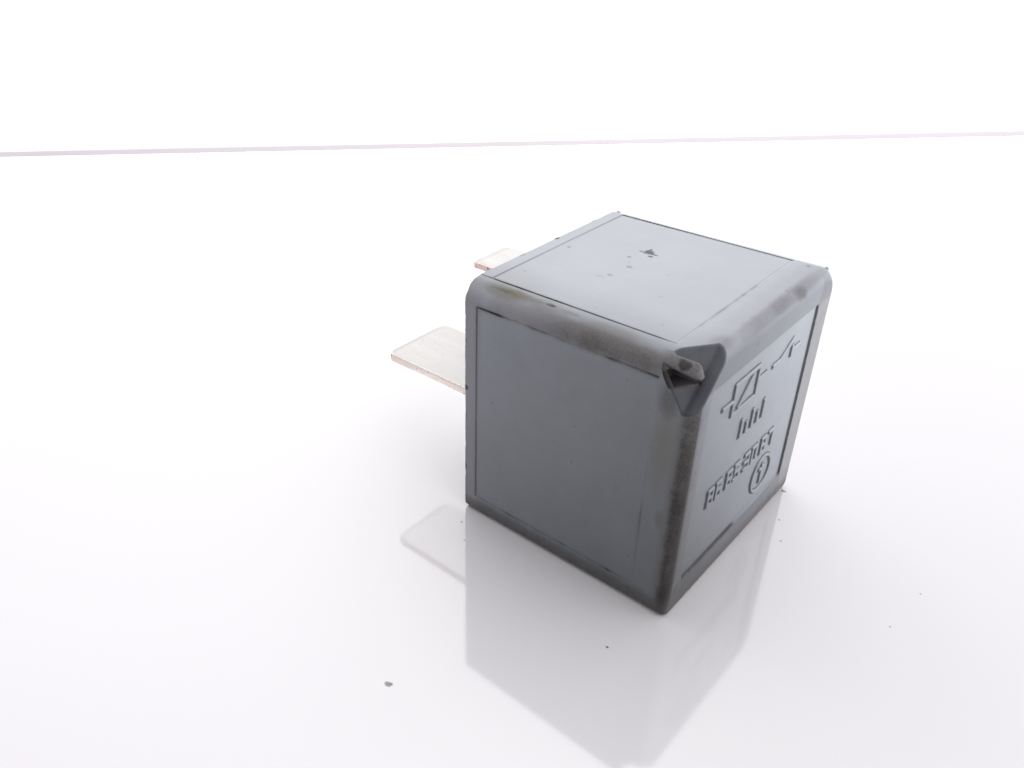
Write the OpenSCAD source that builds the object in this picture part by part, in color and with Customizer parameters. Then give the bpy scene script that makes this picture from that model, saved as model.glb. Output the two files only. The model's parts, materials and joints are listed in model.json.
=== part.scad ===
// Plug-in power relay with a square cover, lying on one side.
// Its own axis runs along X: the blades point to -X, the closed end is at +X.
// The origin is on the resting side, under the middle of the whole length.

/* [Cover] */
// Side of the square cover, across the flats
cover_w = 28; // [26:0.5:30]
// Length of the cover along its axis, from the open rim to the closed end
cover_d = 25.6; // [25:0.1:27]
// Thickness of the cover's side walls
wall_t = 1.3; // [1:0.1:1.6]
// Thickness of the cover's closed end
crown_t = 1.5; // [1.2:0.1:1.8]
// Radius of the two upper long edges
edge_r = 2.3; // [1.6:0.1:2.6]
// Radius of the two lower long edges
low_edge_r = 0.9; // [0.6:0.1:2.3]
// Radius of the upper and left edges round the closed end
crown_r = 1.3; // [0.8:0.1:1.6]
// Radius of the lower and right edges round the closed end
crisp_r = 0.5; // [0.3:0.1:1.3]
// Width of the fine line that outlines each flat panel
line_w = 0.24; // [0.15:0.01:0.4]
// Depth of that line
line_depth = 0.15; // [0.08:0.01:0.25]
// Height of the raised signs on the closed end
sign_h = 0.2; // [0.1:0.02:0.24]

/* [Corner recess] */
// Length of the recess along the cover's axis at the corner
rec_x = 4.55; // [4:0.05:4.8]
// Reach of the sloped floor's plane across the top
rec_y = 6.3; // [5.8:0.1:7]
// Reach of the sloped floor's plane down the side
rec_z = 7.1; // [6:0.1:8]
// Where the recess ends on the closed end, across
rec_end_y = 4.65; // [4:0.05:5]
// Where the recess ends on the closed end, down
rec_end_z = 4.9; // [4.5:0.1:6]
// Length of the nib left standing in the recess
nib_l = 4.2; // [3:0.05:4.3]
// Thickness of the nib, across
nib_t = 1.2; // [0.9:0.1:1.4]
// Thickness of the nib, down
nib_h = 1.5; // [1.2:0.1:1.6]
// Height of the dark hole under the nib
hole_h = 1.3; // [1:0.1:1.5]

/* [Base] */
// Thickness of the base plate
base_t = 3; // [2.5:0.1:3.4]
// How far the base plate sits inside the rim
base_in = 0.5; // [0.3:0.1:0.8]
// Gap between the base plate and the cover's wall
base_gap = 0.06; // [0.04:0.01:0.1]

/* [Blades] */
// Free length of the blades for the load, beyond the rim
load_l = 13.6; // [11.5:0.1:14]
// Width of the blades for the load
load_w = 9.5; // [9.4:0.1:9.6]
// Thickness of the blades for the load
load_t = 1.2; // [1.1:0.05:1.3]
// Free length of the coil blades, beyond the rim
coil_l = 10.7; // [9.5:0.1:11.5]
// Width of the coil blades
coil_w = 6.3; // [6.2:0.1:6.4]
// Thickness of the coil blades
coil_t = 0.8; // [0.75:0.05:0.85]
// Distance between the two coil blades
coil_pitch = 17; // [16.8:0.1:17.4]
// Offset of the coil blades from the middle
coil_y = 2.3; // [1.5:0.1:2.5]
// Offset of blade 30 from the middle
y30 = 7.7; // [7.4:0.1:7.9]
// Offset of blade 87 from the middle
y87 = 9.2; // [9:0.1:9.6]

/* [Magnet] */
// Thickness of the yoke's steel
yoke_t = 1.5; // [1.3:0.1:1.6]
// Width of the yoke
yoke_w = 13; // [12:0.5:14]
// Height of the yoke's hinge edge above the rim
yoke_top = 19.6; // [19.4:0.1:19.8]
// Radius of the core's shank
core_r = 3.2; // [2.8:0.1:3.4]
// Radius of the core's pole face
pole_r = 4.7; // [4.2:0.1:5]
// Outer radius of the winding
winding_r = 5.9; // [5.4:0.1:6]
// Thickness of the armature
arm_t = 1.5; // [1.3:0.1:1.6]
// Angle by which the armature stands open at rest
open_deg = 4; // [3:0.1:4]

/* [Contacts] */
// Radius of the contact rivets' heads
contact_r = 2.2; // [1.8:0.1:2.4]
// Where the contacts sit, across from the middle
contact_y = 7.4; // [7:0.1:7.6]
// Thickness of the leaf that carries the moving contact
leaf_t = 0.35; // [0.25:0.05:0.4]

/* [Hidden] */
$fn = 64;

e = 0.01;
h = cover_w / 2;
// The whole length, blades included, is centred on the origin
mid_x = (cover_d - load_l) / 2;
// Inside of the cover
in_h = h - wall_t;
in_top = cover_d - crown_t;
in_r = 1.2;
// Base plate, between these two heights above the rim
base_0 = base_in;
base_1 = base_in + base_t;
// Magnet: the coil's axis is at y = coil_cy, z = 0
yoke_0 = base_1 + 0.1;
yoke_y = -9.5;
coil_cy = -1.6;
leg_end = 5;
pole_t = 1.1;
flange_t = 1;
flange_h = 6.2;
bob_0 = yoke_0 + yoke_t + 0.05;
bob_1 = yoke_top - pole_t - 0.05;
// Armature in the closed pose lies on this height; it swings about the yoke's outer top edge
arm_0 = yoke_top + 0.03;
arm_1 = arm_0 + arm_t;
arm_end = 4;
leaf_0 = arm_1 + 0.01;
leaf_1 = leaf_0 + leaf_t;
// Contacts: the moving head hangs under the leaf, the fixed head stands on the tab
mc_h = 1.2;
fc_h = 1;
touch_x = leaf_0 - mc_h - 0.02;
tab_1 = touch_x - fc_h - 0.02;
tab_t = load_t;

// ---- Frames ----

// From the relay's own axis frame to the resting frame
module place() translate([-mid_x, 0, h]) children();

// Swing of the opened armature about the hinge edge
module opened() translate([yoke_top, yoke_y, 0]) rotate([0, 0, -open_deg]) translate([-yoke_top, -yoke_y, 0]) children();

// Draw in the plane across the relay's axis and give it a length along X
module along_x(x0, x1) translate([x0, 0, 0]) rotate([90, 0, 90]) linear_extrude(x1 - x0) children();

// A plate: from a corner to the opposite corner
module block(a, b) translate(a) cube([b[0] - a[0], b[1] - a[1], b[2] - a[2]]);

// A round bar along X
module bar(x0, x1, r, y = 0, z = 0) translate([x0, y, z]) rotate([0, 90, 0]) cylinder(r = r, h = x1 - x0);

// A square with rounded corners, centred
module round_sq(w, d, r) {
    square([w - 2 * r, d], center = true);
    square([w, d - 2 * r], center = true);
    for (i = [-1, 1], j = [-1, 1]) translate([i * (w / 2 - r), j * (d / 2 - r)]) circle(r);
}

// Side view of the cover: open at x < 0, rounded corners at the closed end
module crown_profile(len, half, ra, rb) {
    translate([-2, -half]) square([len + 2 - ra, half]);
    translate([-2, 0]) square([len + 2 - rb, half]);
    translate([-2, -half + ra]) square([len + 2, 2 * half - ra - rb]);
    translate([len - ra, ra - half]) circle(ra);
    translate([len - rb, half - rb]) circle(rb);
}

// End view of the cover
module cover_section() {
    translate([-h, low_edge_r - h]) square([cover_w, cover_w - low_edge_r - edge_r]);
    translate([edge_r - h, 0]) square([cover_w - 2 * edge_r, h]);
    translate([low_edge_r - h, -h]) square([cover_w - 2 * low_edge_r, h]);
    for (i = [-1, 1]) {
        translate([i * (h - edge_r), h - edge_r]) circle(edge_r);
        translate([i * (h - low_edge_r), low_edge_r - h]) circle(low_edge_r);
    }
}

// ---- Cover ----

module cover_outside() intersection() {
    along_x(0, cover_d) cover_section();
    translate([0, 0, -h - 1]) linear_extrude(cover_w + 2) crown_profile(cover_d, h, crown_r, crisp_r);
    rotate([90, 0, 0]) translate([0, 0, -h - 1]) linear_extrude(cover_w + 2) crown_profile(cover_d, h, crisp_r, crown_r);
}

// The three-cornered column that the recess takes out, and its sloped floor.
// grow moves both inward, which leaves a wall of that thickness round the recess.
module recess_column(grow) {
    k = grow * 1.7;
    translate([cover_d - 9, 0, 0]) rotate([90, 0, 90]) linear_extrude(12)
        polygon([[-h - 3, h + 3], [-h + rec_end_y + k + 3 * rec_end_y / rec_end_z, h + 3],
                 [-h - 3, h - rec_end_z - k - 3 * rec_end_z / rec_end_y]]);
}
nrm = [1 / rec_x, -1 / rec_y, 1 / rec_z];
nlen = norm(nrm);
module recess_floor(grow)
    translate([cover_d - rec_x, -h, h]) rotate([0, acos(nrm[2] / nlen), atan2(nrm[1], nrm[0])])
        translate([-12, -12, -grow]) cube([24, 24, 20]);

module recess() difference() {
    intersection() { recess_column(0); recess_floor(0); }
    // the nib stays: a bar along the corner, with a sloped end
    difference() {
        block([cover_d - rec_x - 2, -h - 1, h - nib_h], [cover_d - rec_x + nib_l, -h + nib_t, h + 1]);
        translate([cover_d - rec_x + nib_l, 0, h - nib_h]) rotate([0, -24, 0]) block([0, -h - 2, -3], [3, -h + 4, 6]);
        // its underside falls towards the tip
        translate([cover_d - rec_x + nib_l - 0.3, 0, h - nib_h]) rotate([0, 6, 0]) block([-8, -h - 2, -3], [2, -h + 4, 0]);
    }
}

// The dark hole under the nib
module recess_pocket() block([cover_d - rec_x + 0.85, -h + 0.3, h - nib_h - hole_h - 0.02], [cover_d - 1.15, -h + 2.15, h - nib_h - 0.02]);

// Solid corner left inside the cover, round the recess and the hole under the nib
module corner_fill() {
    intersection() {
        recess_column(wall_t * 0.75);
        recess_floor(wall_t);
        block([cover_d - 9, -h, 0], [cover_d, 0, h]);
    }
    block([cover_d - rec_x - 1.6, -h, h - 4], [cover_d, -h + 3.5, h]);
}

module panel_line(x0, x1, w) difference() {
    block([x0, -w / 2, -line_depth], [x1, w / 2, 2]);
    block([x0 + line_w, -w / 2 + line_w, -line_depth - 1], [x1 - line_w, w / 2 - line_w, 3]);
}

// Panel outline on each of the four sides and on the closed end
panel_x0 = 1.5;
panel_x1 = cover_d - 3.8;
panel_w = cover_w - 2 * edge_r + line_w;
crown_panel = cover_w - 2 * 3.3;
// its left edge lies nearer the corner
crown_left = -h + 2.5;
module panel_lines() {
    for (a = [0, 90, 180, 270]) rotate([a, 0, 0]) translate([0, 0, h]) panel_line(panel_x0, panel_x1, panel_w);
    difference() {
        block([cover_d - sign_h - line_depth, crown_left, -crown_panel / 2], [cover_d + 1, crown_panel / 2, crown_panel / 2]);
        block([cover_d - sign_h - line_depth - 1, crown_left + line_w, -crown_panel / 2 + line_w], [cover_d + 2, crown_panel / 2 - line_w, crown_panel / 2 - line_w]);
    }
    // the closed end's panel is sunk by the height of its signs
    block([cover_d - sign_h, crown_left + e, -crown_panel / 2 + e], [cover_d + 1, crown_panel / 2 - e, crown_panel / 2 - e]);
}

// ---- Raised signs: a plain wiring diagram, terminal numbers and a mould wheel ----

sw = 0.3;
// A stroke from (y0, z0) to (y1, z1), along either direction
module stroke(y0, z0, y1, z1)
    translate([min(y0, y1) - sw / 2, min(z0, z1) - sw / 2]) square([abs(y1 - y0) + sw, abs(z1 - z0) + sw]);
// A slanted stroke of a given length and angle about its lower end
module slant(y, z, len, a) translate([y, z]) rotate(a) translate([0, -sw / 2]) square([len, sw]);

// Bars of each figure: top, upper right, lower right, bottom, lower left, upper left, middle
BARS = [[1, 1, 1, 1, 1, 1, 0], [0, 1, 1, 0, 0, 0, 0], [1, 1, 0, 1, 1, 0, 1], [1, 1, 1, 1, 0, 0, 1], [0, 1, 1, 0, 0, 1, 1],
        [1, 0, 1, 1, 0, 1, 1], [1, 0, 1, 1, 1, 1, 1], [1, 1, 1, 0, 0, 0, 0], [1, 1, 1, 1, 1, 1, 1], [1, 1, 1, 1, 0, 1, 1]];
fig_w = 0.9;
fig_h = 1.8;
module figure(d, y, z) {
    b = BARS[d];
    if (b[0]) stroke(y, z + fig_h, y + fig_w, z + fig_h);
    if (b[1]) stroke(y + fig_w, z + fig_h / 2, y + fig_w, z + fig_h);
    if (b[2]) stroke(y + fig_w, z, y + fig_w, z + fig_h / 2);
    if (b[3]) stroke(y, z, y + fig_w, z);
    if (b[4]) stroke(y, z, y, z + fig_h / 2);
    if (b[5]) stroke(y, z + fig_h / 2, y, z + fig_h);
    if (b[6]) stroke(y, z + fig_h / 2, y + fig_w, z + fig_h / 2);
}
module number(n, y, z) {
    figure(floor(n / 10), y, z);
    figure(n % 10, y + fig_w + 0.75, z);
}

module signs() {
    // coil
    stroke(-8.6, 7.4, -6.6, 7.4);
    stroke(-6.6, 5.8, -6.6, 9);
    stroke(-1.8, 5.8, -1.8, 9);
    stroke(-6.6, 5.8, -1.8, 5.8);
    stroke(-6.6, 9, -1.8, 9);
    stroke(-1.8, 7.4, 0, 7.4);
    slant(-5.4, 6.2, 3.4, 45);
    // contact
    stroke(1.6, 7.4, 3.2, 7.4);
    stroke(5.8, 7.4, 7.6, 7.4);
    slant(3.2, 7.4, 2.9, 28);
    stroke(5.8, 6.9, 5.8, 7.9);
    // numbers of the terminals
    number(86, -8.4, -3.6);
    number(85, -4.6, -3.6);
    number(30, -0.8, -3.6);
    number(87, 3, -3.6);
    // steps of a moulded scale
    for (i = [0:4]) stroke(-3.6 + i * 1.2, 2, -3.6 + i * 1.2, i % 2 == 0 ? 3.8 : 3);
    // mould wheel
    translate([4.6, -7]) difference() { circle(2.3); circle(2); }
    stroke(4.6, -8.1, 4.6, -5.9);
    stroke(4.1, -6.3, 5.1, -6.3);
}

// Windows inside the rim that take the base plate's snap nubs
module snap_seats() for (a = [0, 90, 180, 270], s = [-1, 1]) rotate([a, 0, 0])
    block([1.6, s * 5 - 1.6, in_h - 1], [2.9, s * 5 + 1.6, in_h + 0.42]);

module cover() place() color([0.5, 0.52, 0.55]) {
    difference() {
        cover_outside();
        difference() {
            along_x(-1, in_top) round_sq(2 * in_h, 2 * in_h, in_r);
            corner_fill();
        }
        recess();
        recess_pocket();
        panel_lines();
        snap_seats();
    }
    along_x(cover_d - sign_h - 0.05, cover_d) signs();
}

// ---- Base plate ----

base_h = in_h - base_gap;
tray = 0.5;
module base_plate() place() color([0.16, 0.16, 0.17]) difference() {
    union() {
        along_x(base_0, base_1) round_sq(2 * base_h, 2 * base_h, in_r - base_gap);
        for (a = [0, 90, 180, 270], s = [-1, 1]) rotate([a, 0, 0]) block([1.75, s * 5 - 1.4, base_h - 1], [2.75, s * 5 + 1.4, base_h + 0.36]);
        // posts that carry the yoke
        for (s = [-1, 1]) block([base_1 - e, 2.2, s * 5 - 0.8], [yoke_0, 4.4, s * 5 + 0.8]);
    }
    // shallow tray round the blades, on the outer face, with the blades' numbers standing in it
    difference() {
        block([base_0 - 1, -11.4, -11.4], [base_0 + tray, 11.4, 11.4]);
        along_x(base_0 + tray - 0.15, base_0 + tray + 1) mirror([1, 0]) {
            number(30, y30 - 1.3, 2);
            number(87, -y87 + 2.2, -0.9);
            number(86, -coil_y - 1.3, coil_pitch / 2 - 3.4);
            number(85, -coil_y - 1.3, -coil_pitch / 2 + 1.6);
        }
    }
    blade_slots();
}
fit_gap = 0.02;
module blade_slots() {
    g = fit_gap;
    block([-1, -y30 - load_w / 2 - g, -load_t / 2 - g], [base_1 + 1, -y30 + load_w / 2 + g, load_t / 2 + g]);
    block([-1, y87 - load_t / 2 - g, -load_w / 2 - g], [base_1 + 1, y87 + load_t / 2 + g, load_w / 2 + g]);
    for (s = [-1, 1]) block([-1, coil_y - coil_w / 2 - g, s * coil_pitch / 2 - coil_t / 2 - g],
                            [base_1 + 1, coil_y + coil_w / 2 + g, s * coil_pitch / 2 + coil_t / 2 + g]);
}

// ---- Blades ----

// A blade lying in the XY plane, tip at -len, chamfered corners, bevelled tip
module blade(len, w, t, root) {
    c = w * 0.09;
    difference() {
        translate([0, 0, -t / 2]) linear_extrude(t)
            polygon([[-len, -w / 2 + c], [-len + c, -w / 2], [root, -w / 2], [root, w / 2], [-len + c, w / 2], [-len, w / 2 - c]]);
        // lead-in bevel on both faces of the tip
        for (s = [-1, 1]) translate([-len, 0, s * t * 0.22]) rotate([0, s * -17, 0]) translate([-3, -w, s > 0 ? 0 : -2]) cube([6, 2 * w, 2]);
    }
}

module terminal_30() place() color([0.86, 0.85, 0.82]) {
    difference() {
        translate([0, -y30, 0]) blade(load_l, load_w, load_t, yoke_0);
    }
    // tenon staked into the yoke's foot
    block([yoke_0 - e, yoke_y + 0.9, -load_t / 2], [yoke_0 + yoke_t, yoke_y + 4.9, load_t / 2]);
}

module terminal_87() place() color([0.86, 0.85, 0.82]) difference() {
    union() {
        translate([0, y87, 0]) rotate([90, 0, 0]) blade(load_l, load_w, load_t, tab_1);
        block([tab_1 - tab_t, contact_y - contact_r - 0.2, -4.1], [tab_1, y87, 4.1]);
    }
    bar(tab_1 - 4, tab_1 + 1, 1.02, contact_y);
    // relieved shoulders above the base
    for (s = [-1, 1]) block([base_1 + 1.2, y87 - 3, s > 0 ? 3.6 : -6], [tab_1 - 3, y87 + 3, s > 0 ? 6 : -3.6]);
}

module coil_terminal(s) {
    difference() {
        translate([0, coil_y, s * coil_pitch / 2]) blade(coil_l, coil_w, coil_t, base_1 + 3.2);
        // fork for the wire end
        translate([base_1 + 3.2, coil_y - 1.4, s * coil_pitch / 2 - 2]) rotate([0, 0, 45]) cube([0.9, 0.9, 4], center = false);
        block([base_1 + 0.9, coil_y + 0.9, s * coil_pitch / 2 - 2], [base_1 + 6, coil_y + 6, s * coil_pitch / 2 + 2]);
    }
}
module terminal_85() place() color([0.86, 0.85, 0.82]) coil_terminal(-1);
module terminal_86() place() color([0.86, 0.85, 0.82]) coil_terminal(1);

// ---- Magnet ----

module yoke() place() color([0.66, 0.67, 0.68]) difference() {
    union() {
        block([yoke_0, yoke_y, -yoke_w / 2], [yoke_0 + yoke_t, leg_end, yoke_w / 2]);
        block([yoke_0, yoke_y, -yoke_w / 2], [yoke_top, yoke_y + yoke_t, yoke_w / 2]);
    }
    bar(yoke_0 - 1, yoke_0 + yoke_t + 1, core_r - 0.6 + fit_gap, coil_cy);
    block([yoke_0 - 1, yoke_y + 0.9 - fit_gap, -load_t / 2 - fit_gap], [yoke_0 + yoke_t + 1, yoke_y + 4.9 + fit_gap, load_t / 2 + fit_gap]);
    for (s = [-1, 1]) translate([12.5, yoke_y - 1, s * 3.4]) rotate([-90, 0, 0]) cylinder(r = 0.9 + fit_gap, h = 4);
}

module core() place() color([0.72, 0.72, 0.73]) {
    bar(yoke_0, yoke_0 + yoke_t + e, core_r - 0.6, coil_cy);
    bar(yoke_0 + yoke_t + 0.01, yoke_top - pole_t + e, core_r, coil_cy);
    bar(yoke_top - pole_t, yoke_top, pole_r, coil_cy);
}

// Square flange with rounded corners, centred on the coil
module flange(x0, x1) translate([0, coil_cy, 0]) along_x(x0, x1) round_sq(2 * flange_h, 2 * flange_h, 1);

module coil_bobbin() place() color([0.82, 0.79, 0.7]) difference() {
    union() {
        flange(bob_0, bob_0 + flange_t);
        flange(bob_1 - flange_t, bob_1);
        bar(bob_0, bob_1, core_r + 0.8, coil_cy);
        // arms with hooks that hold the open armature back
        for (s = [-1, 1]) {
            block([bob_1 - flange_t, 4.2, s * 5.3 - 0.8], [23.8, 5.5, s * 5.3 + 0.8]);
            block([22.12, 3, s * 5.3 - 0.8], [23.8, 5.5, s * 5.3 + 0.8]);
        }
        // posts for the wire ends
        for (s = [-1, 1]) translate([bob_0 + 0.5, 3.2, s * 6.1 - (s > 0 ? 0 : 1)]) cylinder(r = 0.45, h = 1);
    }
    bar(bob_0 - 1, bob_1 + 1, core_r + 0.04, coil_cy);
}

module coil_winding() place() color([0.62, 0.3, 0.14]) difference() {
    bar(bob_0 + flange_t + 0.02, bob_1 - flange_t - 0.02, winding_r, coil_cy);
    bar(bob_0, bob_1, core_r + 0.82, coil_cy);
}

module coil_tape() place() color([0.82, 0.62, 0.2]) difference() {
    bar(bob_0 + flange_t + 0.5, bob_1 - flange_t - 0.5, winding_r + 0.12, coil_cy);
    bar(bob_0, bob_1, winding_r + 0.01, coil_cy);
}

// ---- Tubes along a route ----

function unit(v) = v / norm(v);
function bez(a, b, c, d, t) = pow(1 - t, 3) * a + 3 * t * pow(1 - t, 2) * b + 3 * t * t * (1 - t) * c + t * t * t * d;
// A route of n steps from a to d, which leaves a towards b and reaches d from c
function route(a, b, c, d, n) = [for (i = [0:n]) bez(a, b, c, d, i / n)];
module tube(p, r, sides = 8, up = [0, 0, 1]) {
    n = len(p);
    tan = [for (i = [0:n - 1]) unit(p[min(i + 1, n - 1)] - p[max(i - 1, 0)])];
    pts = [for (i = [0:n - 1]) let (u = unit(cross(tan[i], up)), v = cross(u, tan[i]))
           for (k = [0:sides - 1]) p[i] + r * (cos(k * 360 / sides) * u + sin(k * 360 / sides) * v)];
    faces = concat([[for (k = [0:sides - 1]) k]],
                   [for (i = [0:n - 2], k = [0:sides - 1]) let (a = i * sides + k, b = i * sides + (k + 1) % sides)
                    [a, a + sides, b + sides, b]],
                   [[for (k = [sides - 1:-1:0]) (n - 1) * sides + k]]);
    polyhedron(pts, faces, convexity = 4);
}

// ---- Wire ends ----

wire_r = 0.16;
module coil_lead_start() place() color([0.62, 0.3, 0.14])
    tube(route([bob_0 + 1.24, 1.2, 5.3], [bob_0 + 1.24, 1.4, 6.6], [base_1 + 2.6, 0.2, 7.5], [base_1 + 2.6, 0.6, 7.88], 10), wire_r, 8, [0, 1, 0]);
module coil_lead_finish() place() color([0.62, 0.3, 0.14])
    tube(route([bob_0 + 1.24, 1.2, -5.3], [bob_0 + 1.24, 1.4, -6.6], [base_1 + 2.6, 0.2, -7.5], [base_1 + 2.6, 0.6, -7.88], 10), wire_r, 8, [0, 1, 0]);

// ---- Armature and contacts ----

module armature() place() opened() color([0.7, 0.7, 0.71]) difference() {
    block([arm_0, yoke_y, -6], [arm_1, arm_end, 6]);
    for (s = [-1, 1]) bar(arm_0 - 1, arm_1 + 1, 0.8 + fit_gap, -1, s * 2.2);
}

module contact_spring() place() opened() color([0.78, 0.55, 0.32]) difference() {
    union() {
        block([leaf_0, -4.5, -3.4], [leaf_1, contact_y + 0.6, 3.4]);
        bar(leaf_0, leaf_1, 3.4, contact_y + 0.6 - 0.6);
    }
    for (s = [-1, 1]) bar(leaf_0 - 1, leaf_1 + 1, 0.8 + fit_gap, -1, s * 2.2);
    bar(leaf_0 - 1, leaf_1 + 1, 1 + fit_gap, contact_y);
}

module moving_contact() place() opened() color([0.85, 0.85, 0.84]) {
    bar(leaf_0 - mc_h, leaf_0 - 0.01, contact_r, contact_y);
    bar(leaf_0 - 0.02, leaf_1 + 0.02, 1, contact_y);
    bar(leaf_1 + 0.01, leaf_1 + 0.5, 1.5, contact_y);
}

module armature_rivets() place() opened() color([0.75, 0.72, 0.62])
    for (s = [-1, 1]) {
        bar(arm_0 + 0.02, leaf_1 + 0.02, 0.8, -1, s * 2.2);
        bar(leaf_1 + 0.01, leaf_1 + 0.55, 1.35, -1, s * 2.2);
    }

module fixed_contact() place() color([0.85, 0.85, 0.84]) {
    bar(tab_1 + 0.01, tab_1 + fc_h, contact_r, contact_y);
    bar(tab_1 - tab_t - 0.02, tab_1 + 0.02, 1, contact_y);
    bar(tab_1 - tab_t - 0.5, tab_1 - tab_t - 0.01, 1.15, contact_y);
}

// Hinge leaf: flat on the yoke's back, bulged round the hinge edge, flat on top of the armature
rs_t = 0.25;
rs_y = yoke_y - 0.02 - rs_t / 2;
// A point of the closed pose, carried to the opened one
function swung(p) = let (dx = p[0] - yoke_top, dy = p[1] - yoke_y)
    [yoke_top + dx * cos(open_deg) + dy * sin(open_deg), yoke_y - dx * sin(open_deg) + dy * cos(open_deg)];
rs_on = swung([arm_1 + 0.01 + rs_t / 2, -7.6]);
rs_end = swung([arm_1 + 0.01 + rs_t / 2, -5]);
rs_path = concat([[9.8, rs_y], [17.6, rs_y]],
                 route([18, rs_y], [18.8, rs_y], [19, -10.4], [20, -10.5], 6),
                 [for (i = [1:6]) bez([20, -10.5], [21.2, -10.6], [22.1, -10.4], [22.1, -9.5], i / 6)],
                 [for (i = [1:6]) bez([22.1, -9.5], [22.1, -8.8], rs_on - [0.06, 0.9], rs_on, i / 6)], [rs_end]);
module return_spring() place() color([0.72, 0.66, 0.5]) difference() {
    union() {
        block([9.8, rs_y - rs_t / 2, -4.8], [17.6, rs_y + rs_t / 2, 4.8]);
        n = len(rs_path);
        nv = [for (i = [0:n - 1]) let (d = unit(rs_path[min(i + 1, n - 1)] - rs_path[max(i - 1, 0)])) [-d[1], d[0]] * rs_t / 2];
        translate([0, 0, -3.6]) linear_extrude(7.2)
            polygon(concat([for (i = [0:n - 1]) rs_path[i] + nv[i]], [for (i = [n - 1:-1:0]) rs_path[i] - nv[i]]));
    }
    for (s = [-1, 1]) translate([12.5, yoke_y - 2, s * 3.4]) rotate([-90, 0, 0]) cylinder(r = 0.9 + fit_gap, h = 4);
}

module yoke_rivets() place() color([0.75, 0.72, 0.62])
    for (s = [-1, 1]) translate([12.5, 0, s * 3.4]) rotate([-90, 0, 0]) {
        translate([0, 0, yoke_y - 0.02 - rs_t - 0.02]) cylinder(r = 0.9, h = yoke_t + rs_t + 0.02);
        translate([0, 0, yoke_y - 0.02 - rs_t - 0.55]) cylinder(r = 1.5, h = 0.54);
    }

// Flexible braid from the yoke's side, past the coil and the hook, onto the moving leaf
braid_r = 0.6;
braid_x = swung([leaf_1, 7.3])[0] + braid_r + 0.02;
braid_path = concat(route([8.2, -8.75, 6.54], [8.2, -8.75, 7.6], [8.6, -8.6, 9.6], [11.5, -8.2, 10], 7),
                    [for (i = [1:12]) bez([11.5, -8.2, 10], [17, -7.4, 10.6], [22.6, -4, 10.8], [22.9, 2, 9.4], i / 12)],
                    [for (i = [1:9]) bez([22.9, 2, 9.4], [23, 5.4, 8.8], [braid_x, 7.3, 8], [braid_x, 7.3, 4], i / 9)],
                    [[braid_x, 7.3, 1.9]]);
module shunt_braid() place() color([0.72, 0.42, 0.26]) tube(braid_path, braid_r, 8, [0, 1, 0.2]);

// ---- Resistor across the coil ----

res_x = 6.3;
res_y = 6.7;
module resistor_body() place() color([0.3, 0.45, 0.6]) {
    translate([res_x, res_y, -2.6]) cylinder(r = 1.05, h = 5.2);
    for (s = [-1, 1]) translate([res_x, res_y, s * 2.5 - 0.65]) cylinder(r = 1.25, h = 1.3);
}
module resistor_leads() place() color([0.8, 0.8, 0.8])
    for (s = [-1, 1]) tube([for (q = concat(route([res_x, res_y, 3.18], [res_x, res_y, 5], [res_x, res_y, 6.6], [res_x, 6.2, 7.2], 5),
                             [for (q = route([res_x, 6.2, 7.2], [res_x, 5.6, 7.8], [res_x - 0.6, 3.4, 7.9], [res_x - 0.6, 2.6, 7.8], 6)) if (q[1] < 6.19) q])) [q[0], q[1], s * q[2]]], 0.25, 8, [1, 0, 0]);

cover();
base_plate();
terminal_30();
terminal_87();
terminal_85();
terminal_86();
yoke();
core();
coil_bobbin();
coil_winding();
coil_tape();
coil_lead_start();
coil_lead_finish();
armature();
contact_spring();
moving_contact();
armature_rivets();
fixed_contact();
return_spring();
yoke_rivets();
shunt_braid();
resistor_body();
resistor_leads();
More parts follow.
